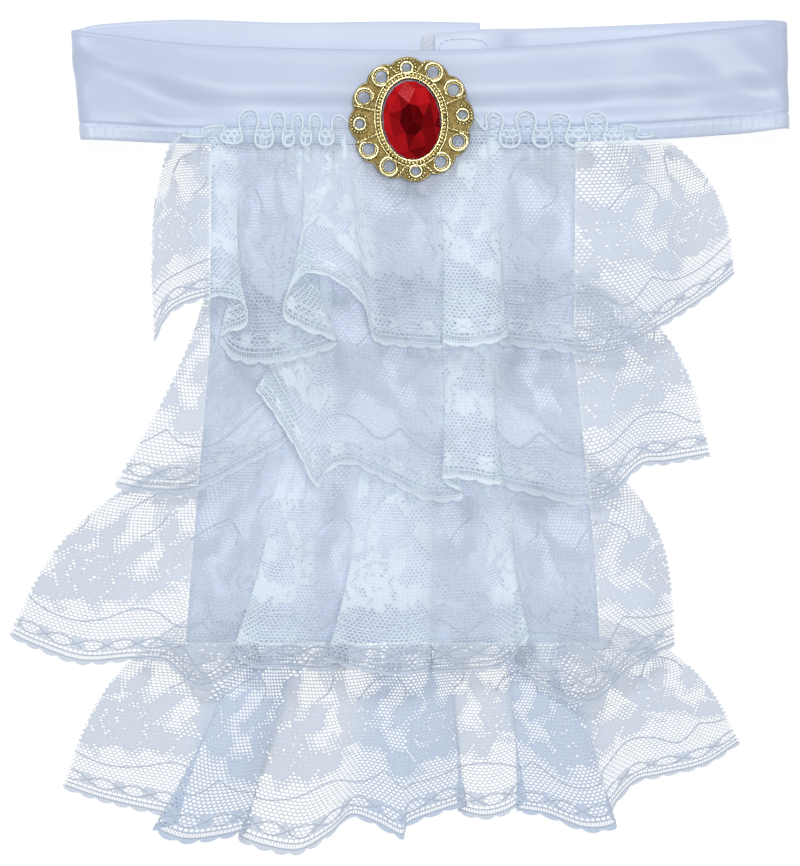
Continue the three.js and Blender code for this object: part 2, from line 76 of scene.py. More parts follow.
# One strip, from the end of its left strap to the end of its right: x along the upper edge, z of its
# middle, y of its upper and lower edge, its share of the front's swell, and its lower edge's shift.
NECKBAND = table("x z top bottom swell lean", [
    (22, 0.5, 112.2, 84, 0, 0),
    (0, 0.5, 112.5, 85, 0, 0),
    (-30, 0.5, 112.2, 85, 0, 0),
    (-58, 0.5, 113, 84.5, 0, 0),
    (-80, 0.5, 111.8, 82.5, 0, 1.6),
    (-86.4, 0.6, 110.4, 81, 0, 2.4),
    (-88.2, 2.2, 110, 80.5, 0, 2.7),
    (-86.4, 3.8, 109.8, 80.3, 0, 2.4),
    (-80, 3.7, 108.8, 80.2, 0.3, 1.6),
    (-58, 2.4, 106.2, 79.6, 1, 0),
    (-30, 2.1, 105, 79.4, 1, 0),
    (11, 2.3, 104.4, 79.4, 1, 0),
    (40, 2.3, 105.8, 79.8, 1, 0),
    (66, 2.4, 108, 80.5, 1, 0),
    (92, 3.4, 110.6, 82, 0.5, 0),
    (102.6, 4, 111.8, 83.2, 0, 0),
    (104.8, 2.3, 112, 83.4, 0, 0),
    (102.8, 0.6, 112.8, 84, 0, 0),
    (92, 0.5, 112.8, 85, 0, 0),
    (60, 0.5, 111.4, 85.5, 0, 0),
    (36, 0.7, 110.6, 85.5, 0, 0),
    (27, 2.1, 110.4, 88, 0, 0),
    (20, 2.7, 110, 88.5, 0, 0),
    (9.6, 2.7, 108.6, 89, 0, 0),
])
FRONT_SWELL = (0, 1.7, 2.3, 2.5, 2.5)  # how far the front swells up, from its lower edge to its upper

PANEL = table("y left right", [
    (-55.5, -57.5, 54.5),
    (-30, -55.5, 53),
    (24, -51, 47.5),
    (79, -50.5, 48),
])

# A row for each crease of a tier, from the seam to the hem: x at the gathered seam, then the hem's
# x and y, and how high the hem's fold stands.
CREASE = "seam x y z"
TIER_1 = table(CREASE, [
    (-60, -66, 25, 0),
    (-57, -61, 33.5, 0),
    (-52, -49.5, 37.5, 3.4),
    (-46.5, -42, 36, 5),
    (-43.5, -40.5, 30, 3.6),
    (-42, -48, 26.5, 1.8),
    (-40, -44, 20.5, 0.2),
    (-37, -35, 19.5, 0),
    (-33, -24, 21.5, 0.2),
    (-29.5, -16, 25, 1.6),
    (-26.5, -25, 28.5, 3.4),
    (-24.5, -31, 33, 5.4),
    (-22, -26, 43, 7.4),
    (-18.5, -18, 42.5, 7.8),
    (-14.5, -9.5, 35.5, 6.6),
    (-12, -6.5, 26, 3.6),
    (-7, -1.5, 24.5, 0.6),
    (0, 4, 24, 0),
    (6, 12, 23.5, 0.6),
    (9, 16.5, 24, 2),
    (11, 11.5, 25, 4.2),
    (16, 18, 24, 6.4),
    (22, 27, 25.5, 6),
    (25, 29.5, 27.5, 3.8),
    (28, 27, 25, 1.6),
    (32, 34, 24, 0.2),
    (40, 43, 23, 0.4),
    (48, 51, 21.5, 1.8),
    (55, 59, 22.5, 3.4),
    (60, 68.5, 28, 4),
    (65.5, 82.5, 37, 0),
    (69.5, 91, 44, 0),
])
TIER_2 = table(CREASE, [
    (-52, -77, -13.5, 0),
    (-47.5, -66, -15.5, 0),
    (-43.5, -54, -14.5, 0.2),
    (-39.5, -44, -9.5, 0.4),
    (-36, -31, -2, 0.4),
    (-33.5, -27, 3, 1.8),
    (-32, -33, 10, 3.8),
    (-30, -38.5, 13, 5.8),
    (-28, -34, 7, 7.8),
    (-25.5, -27, -4, 8),
    (-22.5, -22, -13.5, 5.8),
    (-20, -18.5, -9, 2.8),
    (-16, -12.5, -7.5, 0.6),
    (-10, -7, -10, 0.2),
    (-4.5, 0, -13.5, 0.4),
    (1, 7, -17, 0.6),
    (6, 14.5, -17.5, 1.2),
    (9, 17.5, -15.5, 2.8),
    (11, 11.5, -11.5, 4.8),
    (15, 18.5, -11.5, 7.4),
    (20, 26, -13, 7),
    (23.5, 28, -11.5, 4.6),
    (26, 25.5, -12.5, 2.2),
    (29, 31.5, -14.5, 0.4),
    (34, 40, -16.5, 0),
    (38.5, 48, -18.5, 0.4),
    (43, 57, -16.5, 2),
    (47, 65, -8.5, 4),
    (50, 72.5, -7.5, 2.6),
    (54.5, 84.5, -5.5, 0),
])
TIER_3 = table(CREASE, [
    (-53.5, -105.5, -54, 0),
    (-50.5, -98, -57.5, 0),
    (-47, -86, -61.5, 0),
    (-43.5, -72, -60.5, 0),
    (-40.5, -63, -61, 0),
    (-38, -54, -68, 0.2),
    (-35, -43, -63, 0.6),
    (-32.5, -37.5, -60, 2.2),
    (-30.5, -44.5, -57, 4.6),
    (-27, -40, -61.5, 7),
    (-23.5, -32, -62, 6),
    (-20.5, -26.5, -62.5, 3),
    (-17, -20, -63, 0.4),
    (-12.5, -13.5, -61, 1.2),
    (-10.5, -16, -58.5, 3.2),
    (-8, -19.5, -60, 5.6),
    (-4.5, -11, -62.5, 7.6),
    (0.5, -1.5, -64, 7.8),
    (4.5, 7, -63, 6),
    (7.5, 9, -62, 3.4),
    (10, 9, -63.5, 1.2),
    (14, 15.5, -63.5, 0),
    (19, 24, -63, 0.6),
    (22, 29, -61, 3.4),
    (25, 34, -55, 6.6),
    (27.5, 35, -53, 5.4),
    (29.5, 32, -57, 3),
    (31.5, 33, -63, 1),
    (35, 42, -70, 0),
    (39, 53, -72, 0.2),
    (43, 61, -64, 2.2),
    (47, 67.5, -59.5, 3.4),
    (51, 74.5, -56.5, 0.4),
])
TIER_4 = table(CREASE, [
    (-55, -91, -95, 0),
    (-50.5, -81, -98.5, 0),
    (-45.5, -71, -101, 0),
    (-41.5, -62, -103, 0.4),
    (-39, -60, -105, 2.4),
    (-37, -66.5, -106, 4.4),
    (-32.5, -58.5, -109.5, 5.8),
    (-27.5, -48, -108.5, 5.4),
    (-24.5, -41.5, -107, 3),
    (-21.5, -43.5, -109, 0.8),
    (-18, -36, -112, 0),
    (-13, -27, -113, 0),
    (-8, -18.5, -108, 0.8),
    (-4.5, -13, -103, 2.2),
    (0, -6, -105, 3.6),
    (4, 1, -108.5, 4.8),
    (7, 2.5, -105, 5.8),
    (10.5, 11.5, -101.5, 5.2),
    (13, 18.5, -99.5, 3),
    (15, 16, -101.5, 0.9),
    (19, 23, -103.5, 0),
    (23, 29.5, -102, 0.4),
    (26.5, 35, -98, 1.8),
    (29, 32, -101, 3.8),
    (33, 40, -102.5, 5.8),
    (37.5, 51, -106.5, 5.4),
    (41, 59, -105.5, 3.2),
    (43.5, 57.5, -102, 1.2),
    (46.5, 64, -94, 0.2),
    (48.5, 71, -92, 1.2),
    (50.5, 83, -89, 0.8),
    (52, 92.5, -83, 0),
])
LOOP_CROWNS = np.array(
    [-60, -49.5, -40, -32, -27, -22.5, -16, -9, -1.5, 5.5, 12.5, 19, 25.5, 34.5, 43, 53.5, 62.5, 70]
)
# How far each crown stands up, as a share of the heading.
LOOP_HEIGHTS = np.array(
    [0.1, 0.35, 1.05, 0.95, 0.85, 0.85, 0.8, 0.8, 0.8, 0.8, 0.8, 0.85, 0.95, 1, 0.9, 0.95, 0.4, 0.1]
)
HIDDEN_LOOPS = 14
TIERS = [
    {"seam_y": 81.5, "creases": TIER_1, "shown": True, "swing": (-4, 8)},
    {"seam_y": 42.5, "creases": TIER_2, "shown": False, "swing": (3, 9)},
    {"seam_y": -4, "creases": TIER_3, "shown": False, "swing": (-13, 10)},
    {"seam_y": -48, "creases": TIER_4, "shown": False, "swing": (-9, 11)},
]


# ---- small maths ----
def lerp(a, b, share):
    return a + (b - a) * share


def smoothstep(x, low, high):
    x = np.clip((np.asarray(x, float) - low) / (high - low), 0, 1)
    return x * x * (3 - 2 * x)


def spline(rows, places):
    """A Catmull-Rom curve through rows of numbers, at places from 0 to 1."""
    rows = np.asarray(rows, float)
    ends = np.vstack([2 * rows[0] - rows[1], rows, 2 * rows[-1] - rows[-2]])
    at = np.clip(places, 0, 1) * (len(rows) - 1)
    i = np.minimum(at.astype(int), len(rows) - 2)
    w = (at - i)[..., None]
    before, start, end, after = (ends[i + k] for k in range(4))
    leave, arrive = (end - before) / 2, (after - start) / 2
    return (start + w * leave + w**2 * (3 * (end - start) - 2 * leave - arrive)
            + w**3 * (2 * (start - end) + leave + arrive))


def run_length(points):
    """How far along a line of points each of them is."""
    steps = np.linalg.norm(np.diff(points, axis=0), axis=1)
    return np.concatenate([[0], np.cumsum(steps)])


def at_lengths(path, places):
    """Points of a path, each at its length along it."""
    run = run_length(path)
    return np.stack([np.interp(places, run, path[:, axis]) for axis in range(3)], axis=1)


def spread_out(path, count):
    """count points of a path, evenly spaced."""
    return at_lengths(path, np.linspace(0, run_length(path)[-1], count))


# ---- shader nodes ----
class Value:
    """A socket that varies over a surface. Expressions on it add their Math nodes."""

    def __init__(self, finish, socket):
        self.finish, self.socket = finish, socket

    def math(self, operation, *terms, clamp=False):
        settings = {"operation": operation, "use_clamp": clamp}
        return self.finish.node("ShaderNodeMath", settings, dict(enumerate(terms)))

    def __add__(self, other):
        return self.math("ADD", self, other)

    __radd__ = __add__

    def __sub__(self, other):
        return self.math("SUBTRACT", self, other)

    def __rsub__(self, other):
        return self.math("SUBTRACT", other, self)

    def __mul__(self, other):
        return self.math("MULTIPLY", self, other)

    __rmul__ = __mul__

    def clamped(self):
        return self.math("ADD", self, 0, clamp=True)


class Finish:
    """One material: a principled shader, and the method that adds any other node."""

    def __init__(self, name, **constants):
        self.material = bpy.data.materials.new(name)
        self.material.use_nodes = True
        self.tree = self.material.node_tree
        self.tree.nodes.clear()
        self.shader = self.tree.nodes.new("ShaderNodeBsdfPrincipled")
        output = self.tree.nodes.new("ShaderNodeOutputMaterial")
        self.tree.links.new(self.shader.outputs[0], output.inputs["Surface"])
        for key, value in constants.items():
            self.feed({key.replace("_", " ").title().replace("Ior", "IOR"): value})

    def feed(self, sockets, node=None):
        for key, value in sockets.items():
            socket = (node or self.shader).inputs[key]
            if isinstance(value, Value):
                self.tree.links.new(value.socket, socket)
            elif isinstance(value, tuple) and len(value) == 3 and socket.type == "RGBA":
                socket.default_value = (*value, 1)
            else:
                socket.default_value = value

    def node(self, kind, settings, sockets, out=0):
        node = self.tree.nodes.new(kind)
        for key, setting in settings.items():
            setattr(node, key, setting)
        self.feed(sockets, node)
        return Value(self, node.outputs[out])

    def layer(self, name):
        """A number that the mesh holds at each point or on each face."""
        return self.node("ShaderNodeAttribute", {"attribute_name": name}, {}, out="Fac")

    def flat_place(self):
        """Where a point was on the flat strip, in metres."""
        return self.node("ShaderNodeUVMap", {"uv_map": "strip"}, {})

    def place(self):
        return self.node("ShaderNodeTexCoord", {}, {}, out="Object")

    def noise(self, where, scale, detail=2.0, rough=0.5):
        sockets = {"Vector": where, "Scale": scale, "Detail": detail, "Roughness": rough}
        return self.node("ShaderNodeTexNoise", {}, sockets)

    def stripes(self, where, scale, direction, warp=0.0):
        settings = {"bands_direction": direction, "wave_profile": "SIN"}
        sockets = {"Vector": where, "Scale": scale, "Distortion": warp}
        return self.node("ShaderNodeTexWave", settings, sockets, out="Fac")

    def blend(self, share, first, second):
        """One colour turning into another."""
        return self.node("ShaderNodeMix", {"data_type": "RGBA"}, {0: share, 6: first, 7: second}, out=2)

    def relief(self, height, depth, strength=1.0):
        sockets = {"Height": height, "Distance": depth, "Strength": strength}
        self.feed({"Normal": self.node("ShaderNodeBump", {}, sockets)})


# ---- tones and finishes ----
LACE_TONE, LACE_SHADE = (0.57, 0.64, 0.75), (0.51, 0.575, 0.69)
# of the next three lace tones, the middle one is a painted highlight on raised flutes and steep fold edges,
# and the paler tone of bunched cloth
LACE_THREAD, LACE_BUNCHED_AND_HIGHLIGHT, LACE_DEEP = (0.54, 0.6, 0.69), (0.84, 0.93, 1.0), (0.49, 0.58, 0.74)
# the third satin tone is the inner face's own paler tone, also used as a painted highlight on the band's hem
# strip
SATIN_TONE, SATIN_SHADE, SATIN_INNER_AND_HEM_LIGHT = (0.54, 0.605, 0.755), (0.47, 0.535, 0.69), (0.57, 0.64, 0.79)
PANEL_TONE, PANEL_SHADE = (0.71, 0.765, 0.91), (0.65, 0.705, 0.86)
GILT_TONE, GILT_SHADE = (0.9, 0.79, 0.42), (0.17, 0.115, 0.03)
# the stone's lit and shaded red, for painted light on its facets
STONE_LIT_FACET, STONE_SHADED_FACET = (0.5, 0.008, 0.012), (0.075, 0.0, 0.001)
THREAD_TONE, THREAD_SHADE = (0.8, 0.87, 0.97), (0.64, 0.71, 0.84)
NAP_TONE, NAP_SHADE = (0.84, 0.88, 0.95), (0.5, 0.55, 0.66)


def satin(name, tone, shade, pale_and_painted_light):
    finish = Finish(name, roughness=0.36, sheen_weight=0.2, sheen_roughness=0.4)
    where = finish.place()
    drift = finish.noise(where, 14, 2)
    outer = finish.blend(drift, shade, tone)
    # the pale layer holds the inner face's own tone and a painted highlight on the band's hem strip
    finish.feed({"Base Color": finish.blend(finish.layer("pale_and_painted_light"), outer, pale_and_painted_light)})
    finish.feed({"Roughness": finish.noise(where, 60) * 0.12 + 0.3})
    weave = finish.stripes(where, 900, "DIAGONAL", 1.5) + finish.noise(where, 2500)
    finish.relief(weave, 0.00002, 0.35)
    return finish.material


def lace():
    finish = Finish("net_lace", roughness=0.8, sheen_weight=0.15, sheen_roughness=0.6)
    flat = finish.flat_place()
    filled = finish.layer("filled")
    rows = finish.stripes(flat, 310, "Y", 0.6)
    pillars = finish.stripes(flat, 190, "X", 0.8)
    cloudy = finish.noise(flat, 90, 2)
    yarn = (rows * 0.6 + pillars * 0.4) * 0.5 + cloudy * 0.5
    cloth = finish.blend(yarn, LACE_SHADE, LACE_TONE)
    cloth = finish.blend(filled, LACE_THREAD, cloth)
    backed = finish.layer("backed")
    doubled_up = finish.layer("fold") * (1 - backed)
    cloth = finish.blend(doubled_up * 0.8, cloth, LACE_DEEP)
    # painted highlight on the raised flutes and steep fold edges, mixed with the paler tone of bunched cloth
    finish.feed({"Base Color": finish.blend(finish.layer("bunched_and_highlight"), cloth, LACE_BUNCHED_AND_HIGHLIGHT)})
    # the open net shows less over the panel and more beside it
    thin = (backed * 0.29 - 0.09) * (1 - filled)
    finish.feed({"Alpha": 0.76 + filled * (yarn - 0.5) * 0.3 - thin + doubled_up * 0.16})
    finish.relief(rows * 0.7 + pillars * 0.5 + finish.noise(flat, 900), 0.00009, 0.7)
    return finish.material


def gilt():
    finish = Finish("pale_gilt", metallic=1.0, roughness=0.25)
    where = finish.place()
    sunk = finish.layer("sunk")
    grime = finish.noise(where, 700, 3)
    # the sunk field and hollows get painted shade: darker gold standing in for shadow and dark reflections
    # there, mixed with random grime
    tone = finish.blend((sunk * 0.9 + grime * 0.3 - 0.12).clamped(), GILT_TONE, GILT_SHADE)
    finish.feed({"Base Color": tone, "Roughness": grime * 0.12 + sunk * 0.25 + 0.15})
    finish.relief(finish.noise(where, 1800, 3), 0.00025, 0.5)
    return finish.material


def stone():
    finish = Finish("red_resin", roughness=0.1, specular_ior_level=0.045)
    # the facets' colour is painted light, from a shaded red to a lit one
    finish.feed({"Base Color": finish.blend(finish.layer("facet_light_paint"), STONE_SHADED_FACET, STONE_LIT_FACET)})
    return finish.material


def thread():
    finish = Finish("sewing_thread", roughness=0.6, sheen_weight=0.3)
    where = finish.place()
    twist = finish.stripes(where, 700, "DIAGONAL", 1.0)
    finish.feed({"Base Color": finish.blend(twist, THREAD_SHADE, THREAD_TONE)})
    finish.relief(twist, 0.00005, 0.6)
    return finish.material


def nap():
    finish = Finish("napped_tape", roughness=0.95, sheen_weight=0.6)
    where = finish.place()
    fuzz = finish.noise(where, 1600, 4, 0.7)
    finish.feed({"Base Color": finish.blend(fuzz, NAP_SHADE, NAP_TONE)})
    finish.relief(fuzz, 0.0004, 0.9)
    return finish.material


BAND_SATIN = satin("band_satin", SATIN_TONE, SATIN_SHADE, SATIN_INNER_AND_HEM_LIGHT)
PANEL_SATIN = satin("panel_satin", PANEL_TONE, PANEL_SHADE, PANEL_TONE)
LACE = lace()
GILT = gilt()
STONE_RED = stone()
THREAD = thread()
NAP = nap()


# ---- meshes ----
def sew(name, points, faces, material, smooth=True, flat=None, layers=None):
    """A mesh from points in millimetres, riding on the jabot's one body."""
    mesh = bpy.data.meshes.new(name)
    mesh.from_pydata((np.asarray(points) * MM).tolist(), [], [list(face) for face in faces])
    mesh.polygons.foreach_set("use_smooth", [smooth] * len(mesh.polygons))
    if flat is not None:
        corners = np.empty(len(mesh.loops), int)
        mesh.loops.foreach_get("vertex_index", corners)
        uv = mesh.uv_layers.new(name="strip")
        uv.data.foreach_set("uv", (np.asarray(flat)[corners] * MM).ravel())
    for key, (domain, numbers) in (layers or {}).items():
        mesh.attributes.new(key, "FLOAT", domain).data.foreach_set("value", np.asarray(numbers, float))
    mesh.materials.append(material)
    mesh.update()
    made = bpy.data.objects.new(name, mesh)
    bpy.context.scene.collection.objects.link(made)
    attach(made, "root")
    return made


def grid_faces(rows, columns, start=0, flip=False):
    """Quads over a grid of points that is stored row by row."""
    j, i = np.meshgrid(np.arange(rows - 1), np.arange(columns - 1), indexing="ij")
    a = (start + j * columns + i).ravel()
    quads = np.stack([a, a + 1, a + columns + 1, a + columns], axis=1)
    return quads[:, ::-1] if flip else quads


def outward(grid):
    """The unit normals of a grid of points."""
    across = np.gradient(grid, axis=1)
    down = np.gradient(grid, axis=0)
    normal = np.cross(down, across)
    return normal / np.maximum(np.linalg.norm(normal, axis=2, keepdims=True), 1e-9)


def doubled(grid, half):
    """Closes a grid into a thin cloth, half: half its thickness at each point of the grid."""
    rows, columns, _ = grid.shape
    normal = outward(grid) * half[..., None]
    points = np.vstack([(grid + normal).reshape(-1, 3), (grid - normal).reshape(-1, 3)])
    under = rows * columns
    rim = np.concatenate([
        np.arange(columns),
        np.arange(1, rows) * columns + columns - 1,
        (rows - 1) * columns + np.arange(columns - 2, -1, -1),
        np.arange(rows - 2, 0, -1) * columns,
    ])
    after = np.roll(rim, -1)
    edge = np.stack([after, rim, rim + under, after + under], axis=1)
    faces = np.vstack([grid_faces(rows, columns), grid_faces(rows, columns, under, flip=True), edge])
    return points, faces


def tube(path, radius, sides=6, closed=False, squash=1.0):
    """Points and faces of a round cord along a path. radius: one number, or one for each point."""
    path = np.asarray(path, float)
    radius = np.broadcast_to(radius, len(path))
    if closed:
        ahead = np.roll(path, -1, axis=0) - np.roll(path, 1, axis=0)
    else:
        ahead = np.gradient(path, axis=0)
    ahead /= np.maximum(np.linalg.norm(ahead, axis=1, keepdims=True), 1e-9)
    side = np.cross(ahead, [0, 0, 1.0])
    steep = np.linalg.norm(side, axis=1) < 1e-3
    side[steep] = [1, 0, 0]
    side /= np.linalg.norm(side, axis=1, keepdims=True)
    over = np.cross(side, ahead)
    turn = FULL_TURN * np.arange(sides) / sides
    ring = side[:, None] * np.cos(turn)[:, None] + over[:, None] * np.sin(turn)[:, None] * squash
    points = (path[:, None] + ring * radius[:, None, None]).reshape(-1, 3)
    count = len(path)
    faces = []
    for i in range(count if closed else count - 1):
        here, there = i * sides, (i + 1) % count * sides
        for k in range(sides):
            n = (k + 1) % sides
            faces.append((here + k, here + n, there + n, there + k))
    if not closed:
        faces.append(tuple(range(sides))[::-1])
        faces.append(tuple((count - 1) * sides + k for k in range(sides)))
    return points, faces


def joined(pieces):
    """Several meshes' points and faces as one."""
    points, faces, start = [], [], 0
    for piece_points, piece_faces in pieces:
        points.append(piece_points)
        faces += [tuple(int(i) + start for i in face) for face in piece_faces]
        start += len(piece_points)
    return np.vstack(points), faces


# ---- neckband ----
def neckband_at(u, v):
    """Middle of the band's cloth. u follows the strip, v goes from its upper edge to its lower."""
    columns = np.stack([NECKBAND[key] for key in ("x", "z", "top", "bottom", "swell", "lean")], axis=1)
    x, z, top, bottom, swell, lean = np.moveaxis(spline(columns, u), -1, 0)
    risen = np.interp((1 - v) * (len(FRONT_SWELL) - 1), range(len(FRONT_SWELL)), FRONT_SWELL)
    return np.stack([x + lean * v, lerp(top, bottom, v), z + np.clip(swell, 0, 1) * risen], axis=-1)


def even_places(sheet, count, v=0.5, fine=4000):
    """count places along a sheet, evenly spaced by length."""
    u = np.linspace(0, 1, fine)
    run = run_length(sheet(u, np.full(fine, v)))
    return np.interp(np.linspace(0, run[-1], count), run, u), run[-1]


# Soft creases of the band: place along the strip from 0 to 1, slant, width and depth in millimetres.
BAND_CREASES = table("place slant width depth", [
    (0.3, 1.6, 5, 0.5),
    (0.335, 1.2, 7, -0.35),
    (0.375, 0.9, 8, 0.3),
    (0.44, -0.5, 10, -0.2),
    (0.5, -0.8, 12, 0.2),
    (0.6, 0.5, 12, 0.2),
    (0.64, -0.9, 8, -0.25),
    (0.685, 0.9, 6, 0.35),
    (0.72, 1.1, 5, -0.4),
    (0.745, 0.9, 4, 0.4),
    (0.12, 0.4, 9, 0.2),
    (0.85, -0.6, 9, 0.2),
])
# The front's rolls, from its upper edge (0) to its lower (1), in millimetres.
BAND_ROLL = table("v rise", [
    (0, 0),
    (0.15, -0.1),
    (0.28, 0.12),
    (0.42, 0.4),
    (0.64, -0.15),
    (0.85, 0.7),
    (1, 0.8),
])
BAND_WIDTH = 28


def make_neckband():
    columns = 700
    u, length = even_places(neckband_at, columns)
    v = np.r_[np.linspace(0, 0.8, 26), np.linspace(0.8, 1, 18)[1:]]  # finer over the turned hem
    grid_u, grid_v = np.meshgrid(u, v)
    grid = neckband_at(grid_u, grid_v)
    width = BAND_WIDTH
    # the rolls are on the front only, and end where the band folds round
    front = smoothstep(grid_u, 0.27, 0.31) * (1 - smoothstep(grid_u, 0.66, 0.71))
    # the rolls lie higher at both ends, most of all at the left
    left_end, right_end = 1 - smoothstep(grid_u, 0.31, 0.42), smoothstep(grid_u, 0.62, 0.72)
    slid = grid_v + (0.28 * left_end + 0.07 * right_end) * np.sin(math.pi * grid_v**0.6)
    knots = np.linspace(0, 1, len(BAND_ROLL["v"]))
    roll = spline(BAND_ROLL["rise"][:, None], np.interp(slid, BAND_ROLL["v"], knots))[..., 0]
    push = front * (1 + 0.8 * left_end + 0.3 * right_end) * roll
    along = np.linspace(0, length, columns)[None, :]
    creases = zip(*(BAND_CREASES[key] for key in ("place", "slant", "width", "depth")))
    for place, slant, wide, depth in creases:
        off = along - place * length - slant * (grid_v - 0.5) * width
        push += depth * np.exp(-(off / wide) ** 2) * np.sin(math.pi * grid_v)
    # the turned hem is a step thicker, and the seam presses a groove with small puckers
    from_hem = (1 - grid_v) * width
    seam = np.exp(-((from_hem - 4.2) / 0.5) ** 2)
    push += 0.12 * (1 - smoothstep(from_hem, 3.6, 4.2)) - 0.22 * seam
    pucker = np.sin(along * 2.3 + 1.5 * np.sin(along * 0.31))
    push += 0.07 * pucker * np.exp(-((from_hem - 2.6) / 1.8) ** 2)
    grid += outward(grid) * push[..., None]
    edge = np.minimum(grid_v, 1 - grid_v) * width
    half = 0.3 * np.sqrt(np.clip(edge / 0.8, 0.12, 1))
    points, faces = doubled(grid, half)
    # the inner face has its own paler tone; the hem strip gets a painted highlight, and the ticks along it
    # are painted light and shade of its puckers
    inner = 1 - smoothstep(grid_u, 0.27, 0.29) + smoothstep(grid_u, 0.75, 0.77)
    painted_pucker_light = 0.12 * np.sin(along * 3.9 + 2 * np.sin(along * 0.23))
    pale_and_painted_light = np.maximum(inner, (0.85 + painted_pucker_light) * (1 - smoothstep(from_hem, 3.4, 4.4)))
    pale_and_painted_light = np.tile(np.clip(pale_and_painted_light, 0, 1).ravel(), 2)
    made = sew("neckband_satin", points, faces, BAND_SATIN, layers={"pale_and_painted_light": ("POINT", pale_and_painted_light)})
    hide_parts("neckband")
    return made, length, width


def stitches(line, step, length, thick, lift, wiggle=0.0):
    """Short thread stitches along a line of points, each a small arch."""
    pieces = []
    for k, start in enumerate(np.arange(0, run_length(line)[-1] - length, step)):
        path = at_lengths(line, start + np.linspace(0, length, 5))
        path[:, 2] += lift * np.sin(np.linspace(0, math.pi, 5)) + 0.05
        path[:, 1] += wiggle * (np.linspace(-1, 1, 5) if k % 2 else np.linspace(1, -1, 5))
        pieces.append(tube(path, thick * np.array([0.6, 1, 1, 1, 0.6]), 5))
    return joined(pieces)


def band_line(first, last, height, count=400):
    """Points on the band's outer face, height over its lower edge, between two places along x."""
    u = np.linspace(0.25, 0.78, 4000)
    path = neckband_at(u, np.full(u.shape, 1 - height / BAND_WIDTH))
    shown = (path[:, 2] > 2.0) & (path[:, 0] > first) & (path[:, 0] < last)
    line = spread_out(path[shown], count)
    line[:, 2] += 0.42
    return line


def make_band_stitching():
    pieces = []
    for first, last in ((-85.5, -54), (58, 104)):
        straight = band_line(first, last, 3.7)
        wavy = band_line(first, last, 5.0)
        pieces.append(stitches(straight, 2.7, 2.3, 0.19, 0.1))
        pieces.append(stitches(wavy, 0.9, 1.05, 0.17, 0.1, wiggle=0.34))
    # the sewn oval on the end of the right strap
    turn = np.linspace(0, FULL_TURN, 240)
    corner = 3.2
    wide, high = 13.6, 8.5
    x = 10.8 + wide / 2 + wide / 2 * np.sign(np.cos(turn)) * np.abs(np.cos(turn)) ** (2 / corner)
    y = 103.4 + high / 2 * np.sign(np.sin(turn)) * np.abs(np.sin(turn)) ** (2 / corner)
    oval = np.stack([x, y, np.full(turn.shape, 3.1)], axis=1)
    pieces.append(stitches(oval, 1.5, 1.15, 0.16, 0.08))
    points, faces = joined(pieces)
    made = sew("band_stitching", points, faces, THREAD)


def make_loop_patch():
    rows, columns = 60, 36
    v, u = np.meshgrid(np.linspace(-1, 1, rows), np.linspace(-1, 1, columns), indexing="ij")
    low, high = (np.array(corner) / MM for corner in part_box("loop_patch"))
    centre, half = (low + high) / 2, (high - low) / 2
    rng = np.random.default_rng(4)
    round_off = 1 - 0.12 * (u * v) ** 4
    top = low[2] + 0.45 + 0.25 * rng.random(u.shape)
    rim = np.maximum(np.abs(u), np.abs(v))
    top = lerp(low[2] + 0.05, top, np.clip((1 - rim) * 9, 0, 1))
    grid = np.stack([centre[0] + half[0] * u * round_off, centre[1] + half[1] * v * round_off, top], axis=-1)
    floor = grid.copy()
    floor[..., 2] = low[2]
    points = np.vstack([grid.reshape(-1, 3), floor.reshape(-1, 3)])
    under = rows * columns
    faces = np.vstack([grid_faces(rows, columns), grid_faces(rows, columns, under, flip=True)])
    made = sew("loop_patch_nap", points, faces, NAP)
    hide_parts("loop_patch")


# ---- backing panel ----
PANEL_WIDE, PANEL_TALL = 105, 134  # what hangs under the band
PANEL_TUCK = 3.5  # how far the panel's top goes up behind the front of the band


def panel_at(u, v):
    y = lerp(PANEL["y"][-1], PANEL["y"][0], v)
    left, right = (np.interp(y, PANEL["y"], PANEL[key]) for key in ("left", "right"))
    return np.stack([lerp(left, right, u), y, np.full(np.shape(y), WALL / 2)], axis=-1)


def make_panel():
    grid_u, grid_v = np.meshgrid(np.linspace(0, 1, 75), np.linspace(0, 1, 90))
    grid = panel_at(grid_u, grid_v)
    grid[..., 1] += PANEL_TUCK * (1 - smoothstep(grid_v, 0, 0.1))
    x, y = grid[..., 0], grid[..., 1]
    push = 0.12 * np.sin(x / 9 + 0.02 * y) * np.sin(y / 17 + 1) + 0.08 * np.sin(x / 4.3 - y / 23)
    from_side, from_end = np.minimum(grid_u, 1 - grid_u), np.minimum(grid_v, 1 - grid_v)
    rim = np.minimum(from_side * PANEL_WIDE, from_end * PANEL_TALL)
    push += 0.1 * (1 - smoothstep(rim, 3.5, 4.2))
    grid[..., 2] += np.clip(push, -0.2, 0.25)
    half = 0.24 * np.sqrt(np.clip(rim / 0.6, 0.12, 1))
    points, faces = doubled(grid[::-1], half[::-1])
    made = sew("panel_satin_sheet", points, faces, PANEL_SATIN)
    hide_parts("backing_panel")
    return made


# ---- what each tier lies on ----
GROUND = {"left": -114, "low": -122, "width": 228, "depth": 244, "widen": 7, "soften": 4}


